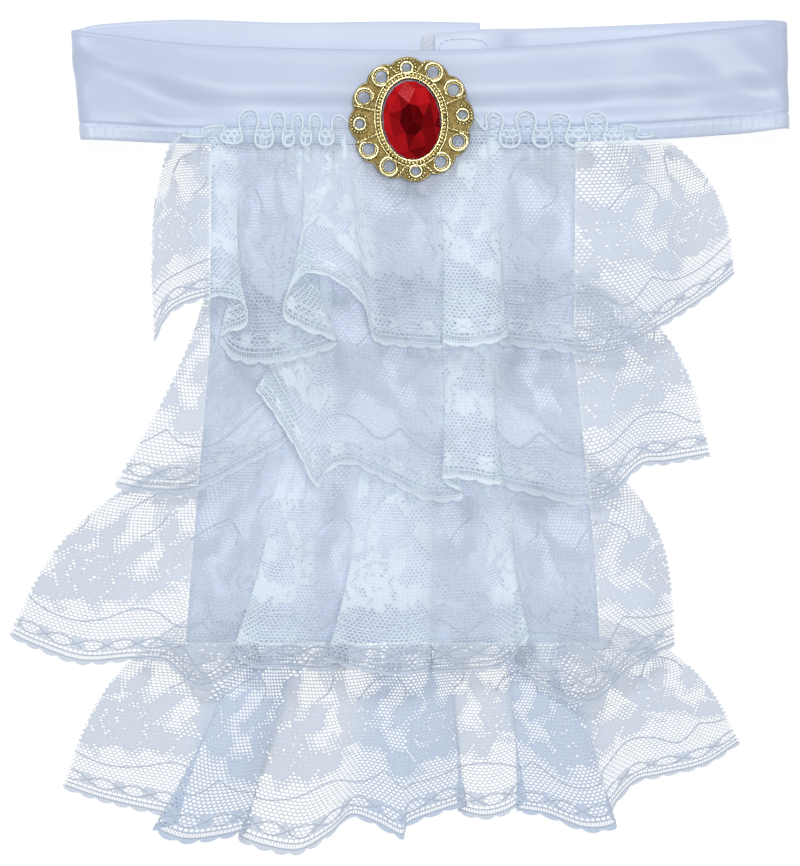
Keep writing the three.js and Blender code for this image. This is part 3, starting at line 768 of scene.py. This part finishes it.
class Ground:
    """The height of the highest cloth at each place, widened and softened, for the next to lie on."""

    def __init__(self):
        self.field = np.zeros((GROUND["depth"], GROUND["width"]))

    def spread(self, field, reach, pick):
        for axis in (1, 0):
            pad = [(reach, reach) if axis == k else (0, 0) for k in (0, 1)]
            wide = np.pad(field, pad, mode="edge")
            windows = np.lib.stride_tricks.sliding_window_view(wide, 2 * reach + 1, axis=axis)
            field = pick(windows, axis=-1)
        return field

    def lay(self, points):
        points = points.reshape(-1, 3)
        row = np.round(points[:, 1] - GROUND["low"]).astype(int)
        column = np.round(points[:, 0] - GROUND["left"]).astype(int)
        np.maximum.at(self.field, (row, column), points[:, 2] + WALL / 2 + AIR)
        wide = self.spread(self.field, GROUND["widen"], np.max)
        self.soft = self.spread(wide, GROUND["soften"], np.mean)

    def rest(self, x, y):
        px = np.clip(x - GROUND["left"], 0, GROUND["width"] - 1.001)
        py = np.clip(y - GROUND["low"], 0, GROUND["depth"] - 1.001)
        cx, cy = px.astype(int), py.astype(int)
        sx, sy = px - cx, py - cy
        low = lerp(self.soft[cy, cx], self.soft[cy, cx + 1], sx)
        high = lerp(self.soft[cy + 1, cx], self.soft[cy + 1, cx + 1], sx)
        return WALL / 2 + lerp(low, high, sy)


ground = Ground()


# ---- lace tiers ----
class Tier:
    """A gathered strip of lace, as a sheet of places."""

    FINE = 1200  # steps along the strip that are worked out in advance
    WINDOW = 0.1  # share of the strip, on each side of a place, that its trend is averaged over

    def __init__(self, seam_y, creases, shown, swing):
        self.seam_y, self.shown, self.swing = seam_y, shown, swing
        self.heading = SHOWN_HEADING if shown else HEADING
        u = np.linspace(0, 1, self.FINE + 1)
        self.hem = spline(np.stack([creases[key] for key in ("x", "y", "z")], axis=1), u)
        self.seam = spline(creases["seam"][:, None], u)[:, 0]
        self.ends = creases["seam"][0], creases["seam"][-1]
        sums = np.vstack([np.zeros(3), np.cumsum(self.hem, axis=0)])
        i = np.arange(self.FINE + 1)
        reach = np.minimum(np.minimum(round(self.WINDOW * self.FINE), i), self.FINE - i)
        self.trend = (sums[i + reach + 1] - sums[i - reach]) / (2 * reach + 1)[:, None]

    def fold(self, u):
        """1 on the raised flutes of the strip, 0 in the valleys between them."""
        high = np.interp(u, np.linspace(0, 1, self.FINE + 1), self.hem[:, 2])
        return smoothstep(high, 0.3, 3.6)

    def gathers(self, seam):
        """Turns of the gathers along the seam, a whole turn for each loop, and the loops' width."""
        if not self.shown:
            first, last = self.ends
            share = (seam - first) / (last - first)
            uneven = 0.018 * np.sin(9 * share + self.seam_y)
            return HIDDEN_LOOPS * (share + uneven), np.full(seam.shape, (last - first) / HIDDEN_LOOPS)
        after = np.clip(np.searchsorted(LOOP_CROWNS, seam, side="right"), 1, len(LOOP_CROWNS) - 1)
        width = LOOP_CROWNS[after] - LOOP_CROWNS[after - 1]
        return after - 1 + (seam - LOOP_CROWNS[after - 1]) / width, width

    def at(self, u, v):
        """u runs along the strip, v from the heading's edge (-1) over the seam (0) to the hem (1)."""
        place = np.clip(u, 0, 1) * self.FINE
        i = np.minimum(place.astype(int), self.FINE - 1)
        share = (place - i)[..., None]
        hem = lerp(self.hem[i], self.hem[i + 1], share)
        trend = lerp(self.trend[i], self.trend[i + 1], share)
        seam = lerp(self.seam[i], self.seam[i + 1], share[..., 0])
        turns, width = self.gathers(seam)
        phase = FULL_TURN * turns
        crown = 0.5 + 0.5 * np.cos(phase)
        free = smoothstep(np.abs(seam - BROOCH["x"]), *PINNED_REACH) if self.shown else 0 * seam
        lift = lerp(PINNED, 1, free) if self.shown else 1
        up, down = np.maximum(-v, 0), np.maximum(v, 0)
        rise = smoothstep(down, 0, FOLD_START)
        fade = 1 - rise
        tuck = down**FOLD_TUCK
        bulge = LOOP_BULGE * width * lift * np.sin(2 * phase) * lerp(0.4, 1, up * free)
        left = self.swing[0] * (1 - smoothstep(u, 0, SWING))
        right = self.swing[1] * smoothstep(u, 1 - SWING, 1)
        swing = (left + right) * np.sin(math.pi * down**SWING_EARLY)
        stand = np.interp(seam, LOOP_CROWNS, LOOP_HEIGHTS) if self.shown else 1
        top = self.heading * stand * lerp(lerp(HIDDEN_CROWN, -LOOP_FLOP / self.heading * up, free), 1, crown)
        arch = 2 * HEADING_ARCH * free * (1 - crown) * np.sin(math.pi * up) * stand
        x = lerp(seam, trend[..., 0], down) + (hem[..., 0] - trend[..., 0]) * tuck + bulge * fade + swing
        y = (lerp(self.seam_y, trend[..., 1], down) + (hem[..., 1] - trend[..., 1]) * tuck
             + up * top + arch)
        gather = 2 * GATHER_RISE * lift * (1 - crown) * fade
        curl = HEADING_CURL * free * up * (1 - crown)
        return np.stack([x, y, ground.rest(x, y) + gather + curl + FOLD_RISE * hem[..., 2] * rise], axis=-1)


# The net: hexagonal holes in rows, seen on the flat strip with its scalloped hem at t = 0.
MESH_WIDE = 1.36
MESH_ROW = 0.86
HEM = {"border": 1.45, "slots": 2.8}  # the closed border's top and the top of the slots over it
SCALLOP = {"wide": 4.8, "deep": 0.95}
OPEN, HALF, SHUT = 0.73, 0.46, 0.0
WIDER, LOWER = 1.12, 0.94  # the holes are wider than they are tall
SLOT = (0.66, 0.84)  # the open share of a slot's width and of its height
REPEAT = 54.0
CHAIN = {"t": 5.5, "half": 1.5, "link": 8.6}

# Flowers of one repeat: place, radius, petals, turn.
BLOOMS = [(13, 25, 9.6, 5, 0.4), (38.5, 29.5, 6.8, 5, 1.3), (27, 47, 4.8, 5, 0.2), (50, 45.5, 3.8, 5, 2.0)]
# Leaves of one repeat, most of them grown together with a flower: place, turn, half length, half width.
LEAVES = [
    (23.5, 21.5, 6, 7.4, 3.3), (22.5, 31.5, 40, 6.2, 2.8), (2.5, 18.5, 150, 6, 2.6),
    (2.5, 32.5, 35, 6.2, 2.6), (12, 36.5, 98, 6.4, 2.5), (45.5, 25, -34, 6.4, 2.6),
    (44.5, 34.5, 38, 6, 2.3), (32.5, 36.5, 125, 6, 2.3), (33, 21, 48, 5, 2.2),
    (21, 49, 20, 4.8, 2), (33, 49.5, -22, 4.8, 2), (4, 51, 70, 4.4, 2),
]
# Stems of one repeat, as places that a smooth line goes through.
STEMS = [
    [(-3, 16), (4, 12.6), (13, 11.4), (22, 13), (30, 15.6), (37, 14.8), (44, 11.2), (51, 16)],
    [(22, 36.5), (26, 39), (27, 42.5)],
    [(39, 36), (43.5, 40), (48.5, 42.5)],
    [(11, 44), (14.5, 48), (19, 49.5)],
    [(52, 42), (56, 39), (56, 36)],
]
CORD = 0.22  # radius of the thick threads: the stems, the hem's chain and its two straight lines


def leaf(s, t, x, y, turn, long, wide):
    """How far inside a pointed leaf a place is: over 0 inside."""
    c, n = math.cos(math.radians(turn)), math.sin(math.radians(turn))
    a, b = (s - x) * c + (t - y) * n, -(s - x) * n + (t - y) * c
    return 1 - (a / long) ** 2 - (np.abs(b) / wide) ** 1.3


def petal_edge(radius, petals, turn, angle):
    """Round petals with a notch between them, no two quite alike."""
    round_tips = np.abs(np.sin(petals * angle / 2 + turn)) ** 0.6
    return radius * (0.8 + 0.17 * round_tips + 0.05 * np.sin(angle * 2 + 3 * turn))


def bloom(s, t, x, y, radius, petals, turn):
    """How far inside a flower's edge a place is, and whether its net is loose there, between petals."""
    away, angle = np.hypot(s - x, t - y), np.arctan2(t - y, s - x)
    rings = (away / radius * 2.3 + 0.35 * np.cos(3 * angle + turn)) % 1
    loose = (rings < 0.42) & (np.sin(2 * angle + 1.1 * away + turn) > -0.3) & (away > radius * 0.15)
    return petal_edge(radius, petals, turn, angle) - away, loose


def chain_line(s, side):
    return CHAIN["t"] + side * CHAIN["half"] * np.sin(math.pi * s / CHAIN["link"])


def hole_size(s, t, rng):
    """How open the net is at each mesh: a floral ground, from OPEN to SHUT."""
    hole = np.full(s.shape, OPEN)
    # no edge is drawn straight: each place is read a little way off
    tile = (s + 0.8 * np.sin(t * 0.83 + s * 0.29)) % REPEAT
    level = t + 0.7 * np.sin(s * 0.71 + 1.3) * smoothstep(t, 9, 14)
    crackle = 0.25 + 0.42 * rng.random(s.shape)
    for shift in (-REPEAT, 0, REPEAT):
        place = tile + shift
        leaves = [leaf(place, level, *row) for row in LEAVES]
        for edge in leaves:
            hole = np.where(edge > -0.6, np.minimum(hole, HALF + 0.08), hole)
        for edge in leaves:
            hole = np.where(edge > 0, SHUT, hole)
        for row in BLOOMS:
            inside, loose = bloom(place, level, *row)
            dense = (inside > -3.2) & (np.sin(place / 3.1 + t / 2.3) > -0.35)
            hole = np.where(dense, np.minimum(hole, HALF + 0.06), hole)
            hole = np.where(inside > 0, np.where(loose, crackle, SHUT), hole)
    # small leaves close the chain where its two threads cross
    from_knot = np.abs((s + CHAIN["link"] / 2) % CHAIN["link"] - CHAIN["link"] / 2)
    knot = (from_knot < 1.9) & (np.abs(t - CHAIN["t"]) < 1.5)
    hole = np.where(knot, np.where(np.sin(s * 0.37) > -0.3, SHUT, HALF), hole)
    # pinholes in the closed parts, and holes of uneven size in the open net
    pinholes = (hole == SHUT) & (rng.random(s.shape) < 0.04)
    hole = np.where(pinholes, 0.3, hole)
    return np.where(hole > 0.4, hole + rng.uniform(-0.04, 0.04, s.shape), hole)


def framed(flat, cells, openness, start):
    """A frame of cloth round a hole in each cell. openness: the open share of its width and height."""
    sides = cells.shape[1]
    centre = flat[cells].mean(axis=1, keepdims=True)
    inner = centre + (flat[cells] - centre) * openness[:, None, :]
    index = start + np.arange(len(cells) * sides).reshape(-1, sides)
    faces = []
    for a in range(sides):
        b = (a + 1) % sides
        faces.append(np.stack([cells[:, a], cells[:, b], index[:, b], index[:, a]], axis=1))
    return inner.reshape(-1, 2), np.vstack(faces)


def net(width, depth, shift, rng, fold, run):
    """Points on the flat strip, faces and how filled each point's mesh is. fold: at each length in run."""
    centres = np.arange(HEM["slots"] + 0.65, depth - 0.6, MESH_ROW)
    half_steps = 2 * round(width / MESH_WIDE)
    s = np.linspace(0, width, half_steps + 1)
    k = np.arange(len(s))
    belly = np.abs(np.sin(math.pi * s / SCALLOP["wide"] + 0.6 * np.sin(s / 11))) ** 0.6
    lines = [SCALLOP["deep"] * (1 - belly), np.full(len(k), HEM["border"]), np.full(len(k), HEM["slots"])]
    for j in range(len(centres) - 1):
        share = np.where((k + j) % 2 == 0, 2 / 3, 1 / 3)
        lines.append(lerp(centres[j], centres[j + 1], share) + rng.uniform(-0.07, 0.07, len(k)))
    lines.append(np.full(len(k), depth))
    lines = np.array(lines)
    flat = np.stack([np.broadcast_to(s, lines.shape), lines], axis=-1).reshape(-1, 2)
    index = np.arange(lines.size).reshape(lines.shape)
    cells, middles = [], []
    for j, centre in enumerate(centres):
        middle = np.arange(1 + (j + 1) % 2, half_steps, 2)
        over, under = j + 3, j + 2
        cells.append(np.stack([
            index[over, middle], index[over, middle + 1], index[under, middle + 1],
            index[under, middle], index[under, middle - 1], index[over, middle - 1],
        ], axis=1))
        middles.append(np.stack([s[middle], np.full(len(middle), centre)], axis=1))
    cells, middles = np.vstack(cells), np.vstack(middles)
    hole = hole_size(middles[:, 0] + shift, middles[:, 1], rng)
    hole *= 1 - 0.14 * np.interp(middles[:, 0], run, fold)  # drawn together on the flutes
    shut = hole < 0.08
    hexagons = cells[shut]
    closed = [hexagons[:, [0, 1, 2, 3]], hexagons[:, [0, 3, 4, 5]], grid_faces(2, len(k), flip=True)]
    inner, frames = framed(flat, cells[~shut], hole[~shut][:, None] * [WIDER, LOWER], len(flat))
    bars = np.stack([index[2, :-1], index[2, 1:], index[1, 1:], index[1, :-1]], axis=1)
    slots, slot_frames = framed(flat, bars, np.tile(SLOT, (len(bars), 1)), len(flat) + len(inner))
    filled = np.zeros(len(flat))
    np.add.at(filled, hexagons.ravel(), 1 / 3)
    filled[index[:2]] = 0.7
    filled = np.concatenate([np.clip(filled, 0, 1), np.zeros(len(inner) + len(slots))])
    faces = np.vstack([*closed, frames, slot_frames])
    return np.vstack([flat, inner, slots]), faces[:, ::-1], filled


def thick_threads(width, depth, shift):
    """The lines on the flat strip that a thicker thread follows."""
    along = np.arange(0, width, 0.7)
    lines = [np.stack([along, chain_line(along + shift, side)], axis=1) for side in (-1, 1)]
    lines += [np.stack([along, np.full(along.shape, HEM[key])], axis=1) for key in ("border", "slots")]
    for start in np.arange(-REPEAT, width + REPEAT, REPEAT) - shift % REPEAT:
        lines += [spline(stem, np.linspace(0, 1, 8 * len(stem))) + [start, 0] for stem in STEMS]
    cut = []
    for line in lines:
        kept = (line[:, 0] > 0) & (line[:, 0] < width) & (line[:, 1] < depth - 1.5)
        if kept.sum() > 3 and (kept.all() or not (kept[0] and kept[-1])):
            cut.append(line[kept])
    return cut


def face_area(points, faces):
    a, b, c, d = (points[faces[:, k]] for k in range(4))
    p, q = c - a, d - b
    return np.abs(p[:, 0] * q[:, 1] - p[:, 1] * q[:, 0]).sum() / 2


PATTERN_SHIFTS = (2.0, -9.0, 0.0, 3.0)  # where each tier's strip starts in the pattern
CORD_SIDES = 5
EDGE_CORD = 0.38  # radius of the cord along the shown heading's edge
EDGE_STEP = 0.3


def backed(points):
    """Where opaque cloth lies under the lace: 1 over the panel and the band, 0 beside them."""
    x, y = points[:, 0], points[:, 1]
    left, right = (np.interp(y, PANEL["y"], PANEL[key]) for key in ("left", "right"))
    inside = np.minimum(np.minimum(x - left, right - x), y - PANEL["y"][0])
    return smoothstep(np.maximum(inside, y - PANEL["y"][-1]), -0.5, 0.5)


def bunched_and_highlight_of(tier, u, v):
    """How pale the lace is: more so on flutes, at the hem, where it is steep and where it is bunched. On the
    flutes and steep parts this is painted highlight; bunched cloth is paler of itself.
    """
    here = tier.at(u, v)
    along = tier.at(u + 4e-4, v) - here
    down = tier.at(u, v + 4e-3) - here
    normal = np.cross(down, along)
    steep = 1 - np.abs(normal[:, 2]) / np.maximum(np.linalg.norm(normal, axis=1), 1e-9)
    bunched = np.where(v < 0, 0.75, 0.4 * (1 - smoothstep(v, 0, 0.3))) if tier.shown else 0
    pale_and_painted_light = 0.16 + 0.68 * tier.fold(u) + 0.5 * steep + bunched + 0.35 * smoothstep(v, 0.78, 0.92)
    return np.clip(pale_and_painted_light, 0, 1) * lerp(0.05, 1, backed(here))


def make_tier(number, tier):
    rng = np.random.default_rng(10 + number)
    fine = 3000
    u = np.linspace(0, 1, fine)
    hem_run = run_length(tier.at(u, np.full(fine, 0.85)))
    width = hem_run[-1]
    down = np.linspace(0, 1, 60)
    drops = [run_length(tier.at(np.full(60, place), down))[-1] for place in np.linspace(0, 1, 80)]
    drop = float(np.mean(drops))
    depth = drop + tier.heading
    shift = PATTERN_SHIFTS[number - 1]
    flat, faces, filled = net(width, depth, shift, rng, tier.fold(u), hem_run)

    def gathered(places):
        at_u = np.interp(places[:, 0], hem_run, u)
        at_v = np.where(places[:, 1] < drop, 1 - places[:, 1] / drop, (drop - places[:, 1]) / tier.heading)
        return at_u, at_v

    at_u, at_v = gathered(flat)
    points = tier.at(at_u, at_v)
    # beside the panel only the lowest tier looks deep in its folds
    folded = tier.fold(at_u) * (1 if number == 4 else 0.3)
    layers = {"filled": ("POINT", filled), "bunched_and_highlight": ("POINT", bunched_and_highlight_of(tier, at_u, at_v)),
              "fold": ("POINT", folded), "backed": ("POINT", backed(points))}
    made = sew(f"lace_strip_{number}", points, faces, LACE, flat=flat, layers=layers)
    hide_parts(f"lace_tier_{number}")

    cords, crests = [], []
    for line in thick_threads(width, depth, shift):
        at_u, at_v = gathered(line)
        cords.append(tube(tier.at(at_u, at_v), CORD, CORD_SIDES))
        # the cords get extra painted highlight, and the heading's edge cord the full painted highlight
        crests.append(np.repeat(np.clip(bunched_and_highlight_of(tier, at_u, at_v) + 0.3, 0, 1), CORD_SIDES))
    if tier.shown:
        fine_u = np.linspace(0, 1, 2400)
        edge = tier.at(fine_u, np.full(fine_u.shape, -1.0))
        edge = spread_out(edge, int(run_length(edge)[-1] / EDGE_STEP))
        cords.append(tube(edge, EDGE_CORD, CORD_SIDES))
        crests.append(np.ones(len(edge) * CORD_SIDES))
    points, cord_faces = joined(cords)
    layers = {"filled": ("POINT", np.full(len(points), 0.75)), "bunched_and_highlight": ("POINT", np.concatenate(crests)),
              "backed": ("POINT", backed(points))}
    no_place = np.zeros((len(points), 2))  # a cord lies on top, and has no place in the net
    trim = sew(f"lace_cords_{number}", points, cord_faces, LACE, flat=no_place, layers=layers)
    return made, trim, width, depth, face_area(flat, faces)


def lay_tier(tier):
    u, v = np.meshgrid(np.linspace(0, 1, 701), np.linspace(-1, 1, 261))
    ground.lay(tier.at(u, v))


# ---- brooch ----
STONE = {"half_width": 7.7, "half_height": 10.6, "base": 1.4}
ORBIT = 13.9


def oval(half_width, half_height, count, z, start=0.0, end=FULL_TURN):
    turn = np.linspace(start, end, count, endpoint=end - start < FULL_TURN - 1e-6)
    return np.stack([half_width * np.cos(turn), half_height * np.sin(turn), np.full(count, z)], axis=1)


def bead(place, radius, rings=4, sides=7):
    """A small ball."""
    lat = np.linspace(-math.pi / 2, math.pi / 2, rings + 1)[1:-1]
    lon = FULL_TURN * np.arange(sides) / sides
    points = [np.array([0, 0, -1.0])]
    for a in lat:
        points += [np.array([math.cos(a) * math.cos(b), math.cos(a) * math.sin(b), math.sin(a)]) for b in lon]
    points.append(np.array([0, 0, 1.0]))
    faces = []
    count = len(lat)
    for k in range(sides):
        n = (k + 1) % sides
        faces.append((0, 1 + n, 1 + k))
        for j in range(count - 1):
            a = 1 + j * sides
            faces.append((a + k, a + n, a + sides + n, a + sides + k))
        top = 1 + (count - 1) * sides
        faces.append((top + k, top + n, len(points) - 1))
    return np.array(points) * radius + np.asarray(place), faces


def beads(path, spacing, radius):
    count = int(run_length(path)[-1] / spacing)
    return [bead(spot, radius) for spot in spread_out(path, count)]


def rope(path, radius):
    """A twisted wire: two strands wound round each other."""
    run = run_length(path)
    ahead = np.gradient(path, axis=0)
    ahead /= np.linalg.norm(ahead, axis=1, keepdims=True)
    side = np.cross(ahead, [0, 0, 1.0])
    over = np.cross(side, ahead)
    pieces = []
    for strand in (0, math.pi):
        wind = (FULL_TURN * run / (radius * 5) + strand)[:, None]
        line = path + (side * np.cos(wind) + over * np.sin(wind)) * radius * 0.5
        pieces.append(tube(line, radius * 0.62, 5))
    return pieces


def scroll(x, y, radius, wire, opening, facing, z):
    """A C-shaped wire round a hole, its two ends curled in and thinned."""
    turn = np.linspace(opening / 2, FULL_TURN - opening / 2, 34)
    curl = 1 - 0.3 * np.exp(-((turn - turn[0]) / 0.5) ** 2) - 0.18 * np.exp(-((turn - turn[-1]) / 0.5) ** 2)
    path = np.stack([x + radius * curl * np.cos(turn + facing), y + radius * curl * np.sin(turn + facing),
                     np.full(turn.shape, z)], axis=1)
    thin = wire * np.clip(np.minimum(turn - turn[0], turn[-1] - turn) / 0.5 + 0.45, 0.45, 1)
    return tube(path, thin, 9)


RINGS = 12
RING_HOLE = {"small": 1.35, "large": 1.75}
LOBE = {"middle": 15.15, "swing": 1.2}


def ring_place(i):
    angle = FULL_TURN * i / RINGS
    return angle, ORBIT * math.cos(angle), ORBIT * math.sin(angle)


def lobed_edge(turn):
    """The frame's outer edge: a lobe round each ring."""
    return LOBE["middle"] + LOBE["swing"] * np.abs(np.cos(RINGS / 2 * turn)) ** 0.7 * 1.2


def casting_field():
    """The sunk plate from the stone to the outer edge, with round holes and a lumpy textured face."""
    rows, columns = 44, 432
    rng = np.random.default_rng(7)
    share = np.linspace(0, 1, rows)[:, None]
    turn = FULL_TURN * np.arange(columns) / columns
    inner = 1 / np.hypot(np.cos(turn) / 7.9, np.sin(turn) / 10.8)
    away = lerp(inner, lobed_edge(turn), share)
    face = 0.6 + rng.uniform(-0.11, 0.11, away.shape)
    x, y = away * np.cos(turn), away * np.sin(turn)
    open_at = np.zeros(away.shape, bool)
    for i in range(RINGS):
        _, ring_x, ring_y = ring_place(i)
        radius = RING_HOLE["small" if i % 3 == 0 else "large"]
        from_ring = np.hypot(x - ring_x, y - ring_y)
        pull = np.clip(radius / np.maximum(from_ring, 1e-6), 0, 1.12)
        near = (from_ring > radius * 0.92) & (from_ring < radius * 1.12)
        x = np.where(near, ring_x + (x - ring_x) * pull, x)
        y = np.where(near, ring_y + (y - ring_y) * pull, y)
        open_at |= from_ring <= radius * 0.92
    top = np.stack([x, y, face], axis=-1).reshape(-1, 3)
    under = rows * columns
    faces, walls = [], {}
    for j in range(rows - 1):
        for i in range(columns):
            n = (i + 1) % columns
            if open_at[j, i] or open_at[j, n] or open_at[j + 1, i] or open_at[j + 1, n]:
                continue
            a, b, c, d = j * columns + i, j * columns + n, (j + 1) * columns + n, (j + 1) * columns + i
            faces.append((a, d, c, b))
            faces.append((under + a, under + b, under + c, under + d))
            for start, end in ((a, d), (d, c), (c, b), (b, a)):
                if (end, start) in walls:
                    del walls[end, start]
                else:
                    walls[start, end] = True
    faces += [(end, start, under + start, under + end) for start, end in walls]
    used = np.unique(np.concatenate([np.array(face) for face in faces]))
    renamed = np.zeros(2 * under, int)
    renamed[used] = np.arange(len(used))
    points = np.vstack([top, top * [1, 1, 0]])[used]
    return points, [tuple(renamed[list(face)]) for face in faces]


def on_brooch(points):
    """From the brooch's own place to the jabot's."""
    c, n = math.cos(BROOCH["lean"]), math.sin(BROOCH["lean"])
    x = BROOCH["x"] + points[:, 0] * c - points[:, 1] * n
    y = BROOCH["y"] + points[:, 0] * n + points[:, 1] * c
    return np.stack([x, y, points[:, 2] + BROOCH["base"]], axis=1)


def make_casting():
    pieces = [casting_field()]
    bezel_x, bezel_y = STONE["half_width"] + 1.1, STONE["half_height"] + 1.1
    wall = oval(bezel_x - 0.5, bezel_y - 0.5, 96, 1.75)
    pieces.append(tube(wall, 0.4, 8, closed=True, squash=1.5))
    bead_line = oval(bezel_x + 0.2, bezel_y + 0.2, 200, 1.75)
    pieces += beads(np.vstack([bead_line, bead_line[:1]]), 0.98, 0.54)
    pieces.append(tube(oval(bezel_x + 1.0, bezel_y + 1.0, 96, 1.15), 0.26, 7, closed=True))
    for i in range(RINGS):
        angle, x, y = ring_place(i)
        side = 1 if i % 3 == 1 else -1
        if i % 3 == 0:
            pieces.append(tube(oval(1.6, 1.6, 28, 1.0) + [x, y, 0], 0.42, 8, closed=True))
            arc = oval(2.4, 2.4, 60, 0.95, angle - 2.3, angle + 2.3) + [x, y, 0]
            pieces += beads(arc, 0.78, 0.42)
        else:
            facing = angle + math.pi + 0.7 * side
            pieces.append(scroll(x, y, 2.45, 0.44, 0.9, facing, 1.3))
            pieces.append(tube(oval(1.85, 1.85, 28, 0.8) + [x, y, 0], 0.3, 7, closed=True))
            # a twisted wire leans from the bezel to the edge, between a small ring and this one
            leans = angle - 0.27 * side
            start = [(bezel_x + 1.1) * math.cos(leans), (bezel_y + 1.1) * math.sin(leans), 1.3]
            end = [16 * math.cos(leans + 0.07 * side), 16 * math.sin(leans + 0.07 * side), 1.0]
            pieces += rope(lerp(np.array(start), np.array(end), np.linspace(0, 1, 40)[:, None]), 0.4)
    turn = np.linspace(0, FULL_TURN, 720, endpoint=False)
    edge = lobed_edge(turn)
    rim = np.stack([edge * np.cos(turn), edge * np.sin(turn), np.full(720, 0.65)], axis=1)
    pieces.append(tube(rim, 0.3, 6, closed=True))
    points, faces = joined(pieces)
    # how sunk each point is, for the gilt's painted shade and its roughness
    depth = np.clip(1.0 - (points[:, 2] - 0.75) / 0.7, 0, 1)
    made = sew("brooch_casting", on_brooch(points), faces, GILT, layers={"sunk": ("POINT", depth)})
    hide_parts("brooch_frame")


# Rings of the stone's corners: share of its half size, height, count, turn in steps.
STONE_RINGS = [(0.97, 0.0, 16, 0.0), (1.0, 0.8, 16, 0.0), (0.8, 1.9, 8, 0.5), (0.42, 2.75, 8, 0.0)]


def make_stone():
    rng = np.random.default_rng(21)
    points, rings = [], []
    for share, z, count, turn in STONE_RINGS:
        rings.append(list(range(len(points), len(points) + count)))
        for i in range(count):
            angle = FULL_TURN * (i + turn) / count + 0.13
            points.append((share * STONE["half_width"] * math.cos(angle),
                           share * STONE["half_height"] * math.sin(angle), z))
    faces = [tuple(rings[0][::-1])]
    girdle = len(rings[0])
    for i in range(girdle):
        n = (i + 1) % girdle
        faces.append((rings[0][i], rings[0][n], rings[1][n], rings[1][i]))
    for i in range(8):
        n = (i + 1) % 8
        a, b, c = rings[1][2 * i], rings[1][2 * i + 1], rings[1][(2 * i + 2) % girdle]
        faces += [(a, b, rings[2][i]), (b, c, rings[2][i]), (c, rings[2][n], rings[2][i])]
        faces += [(rings[2][i], rings[2][n], rings[3][n]), (rings[2][i], rings[3][n], rings[3][i])]
    points.append((0.4, -0.6, 3.4))
    faces += [(rings[3][i], rings[3][(i + 1) % 8], len(points) - 1) for i in range(8)]
    points = np.array(points)
    middles = np.array([points[list(face)].mean(axis=0) for face in faces])
    across, up = middles[:, 0] / STONE["half_width"], middles[:, 1] / STONE["half_height"]
    # painted light on the facets: paler at the top, the left and the foot, dark round the middle and at the
    # lower right, with random painted light from facet to facet
    facet_light = 0.78 * smoothstep(np.hypot(across + 0.12, up * 1.1), 0.25, 0.75)
    facet_light -= 0.5 * np.clip(across * 1.3 - up, 0, 1)
    painted_facet_light = np.clip(0.04 + facet_light + rng.normal(0, 0.16, len(faces)), 0, 1)
    points += [0.1, -0.3, STONE["base"]]
    made = sew("faceted_stone", on_brooch(points), faces, STONE_RED, smooth=False,
               layers={"facet_light_paint": ("FACE", painted_facet_light)})
    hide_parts("brooch_stone")


# ---- make everything, from the floor up ----
band, band_length, band_width = make_neckband()
make_band_stitching()
make_loop_patch()
panel = make_panel()

across, down = np.meshgrid(np.linspace(0, 1, 1201), np.linspace(0, 1, 61))
ground.lay(neckband_at(across, down))
ground.lay(panel_at(*np.meshgrid(np.linspace(0, 1, 131), np.linspace(0, 1, 161))))

strips = {}
for number in (4, 3, 2, 1):
    tier = Tier(**TIERS[number - 1])
    strips[number] = make_tier(number, tier)
    lay_tier(tier)
make_casting()
make_stone()

# ---- each strip's cut: its width, depth and area, and what lies under it, worked out but not passed on ----
for number, (strip, trim, width, depth, area) in strips.items():
    below = [panel] if number == 4 else [strips[number + 1][0], panel]
    width * MM
    depth * MM
    area * MM * MM


# ---- floor, light and camera ----
def make_floor():
    mesh = bpy.data.meshes.new("floor")
    reach = 3.0
    mesh.from_pydata([(-reach, -reach, 0), (reach, -reach, 0), (reach, reach, 0), (-reach, reach, 0)],
                     [], [(0, 1, 2, 3)])
    floor = bpy.data.objects.new("floor", mesh)
    floor.location.z = -0.0003
    finish = Finish("pale_floor", base_color=(0.14, 0.14, 0.14), roughness=0.9,
                    emission_color=(1, 1, 1), emission_strength=0.88)
    mesh.materials.append(finish.material)
    bpy.context.scene.collection.objects.link(floor)


def make_light(name, place, size, power):
    light = bpy.data.lights.new(name, "AREA")
    light.shape, light.size, light.energy = "DISK", size, power
    lamp = bpy.data.objects.new(name, light)
    lamp.location = place
    lamp.rotation_euler = (-Vector(place)).to_track_quat("-Z", "Y").to_euler()
    bpy.context.scene.collection.objects.link(lamp)


make_floor()
make_light("key", (-0.4, 1.1, 1.3), 0.6, 10.5)
make_light("overhead", (0.1, 0.05, 1.6), 0.4, 9)

world = bpy.data.worlds.new("studio")
world.use_nodes = True
world.node_tree.nodes["Background"].inputs["Color"].default_value = (0.93, 0.96, 1.0, 1)
world.node_tree.nodes["Background"].inputs["Strength"].default_value = 0.42
bpy.context.scene.world = world
bpy.context.scene.view_settings.view_transform = "Standard"

VIEW = {"x": 0.47, "y": 1.2, "high": 233.8, "lens": 180.0, "sensor": 36.0}
camera_data = bpy.data.cameras.new("camera")
camera_data.lens, camera_data.sensor_width = VIEW["lens"], VIEW["sensor"]
camera = bpy.data.objects.new("camera", camera_data)
camera.location = (VIEW["x"] * MM, VIEW["y"] * MM, VIEW["high"] * MM * VIEW["lens"] / VIEW["sensor"] + 0.003)
bpy.context.scene.collection.objects.link(camera)
bpy.context.scene.camera = camera
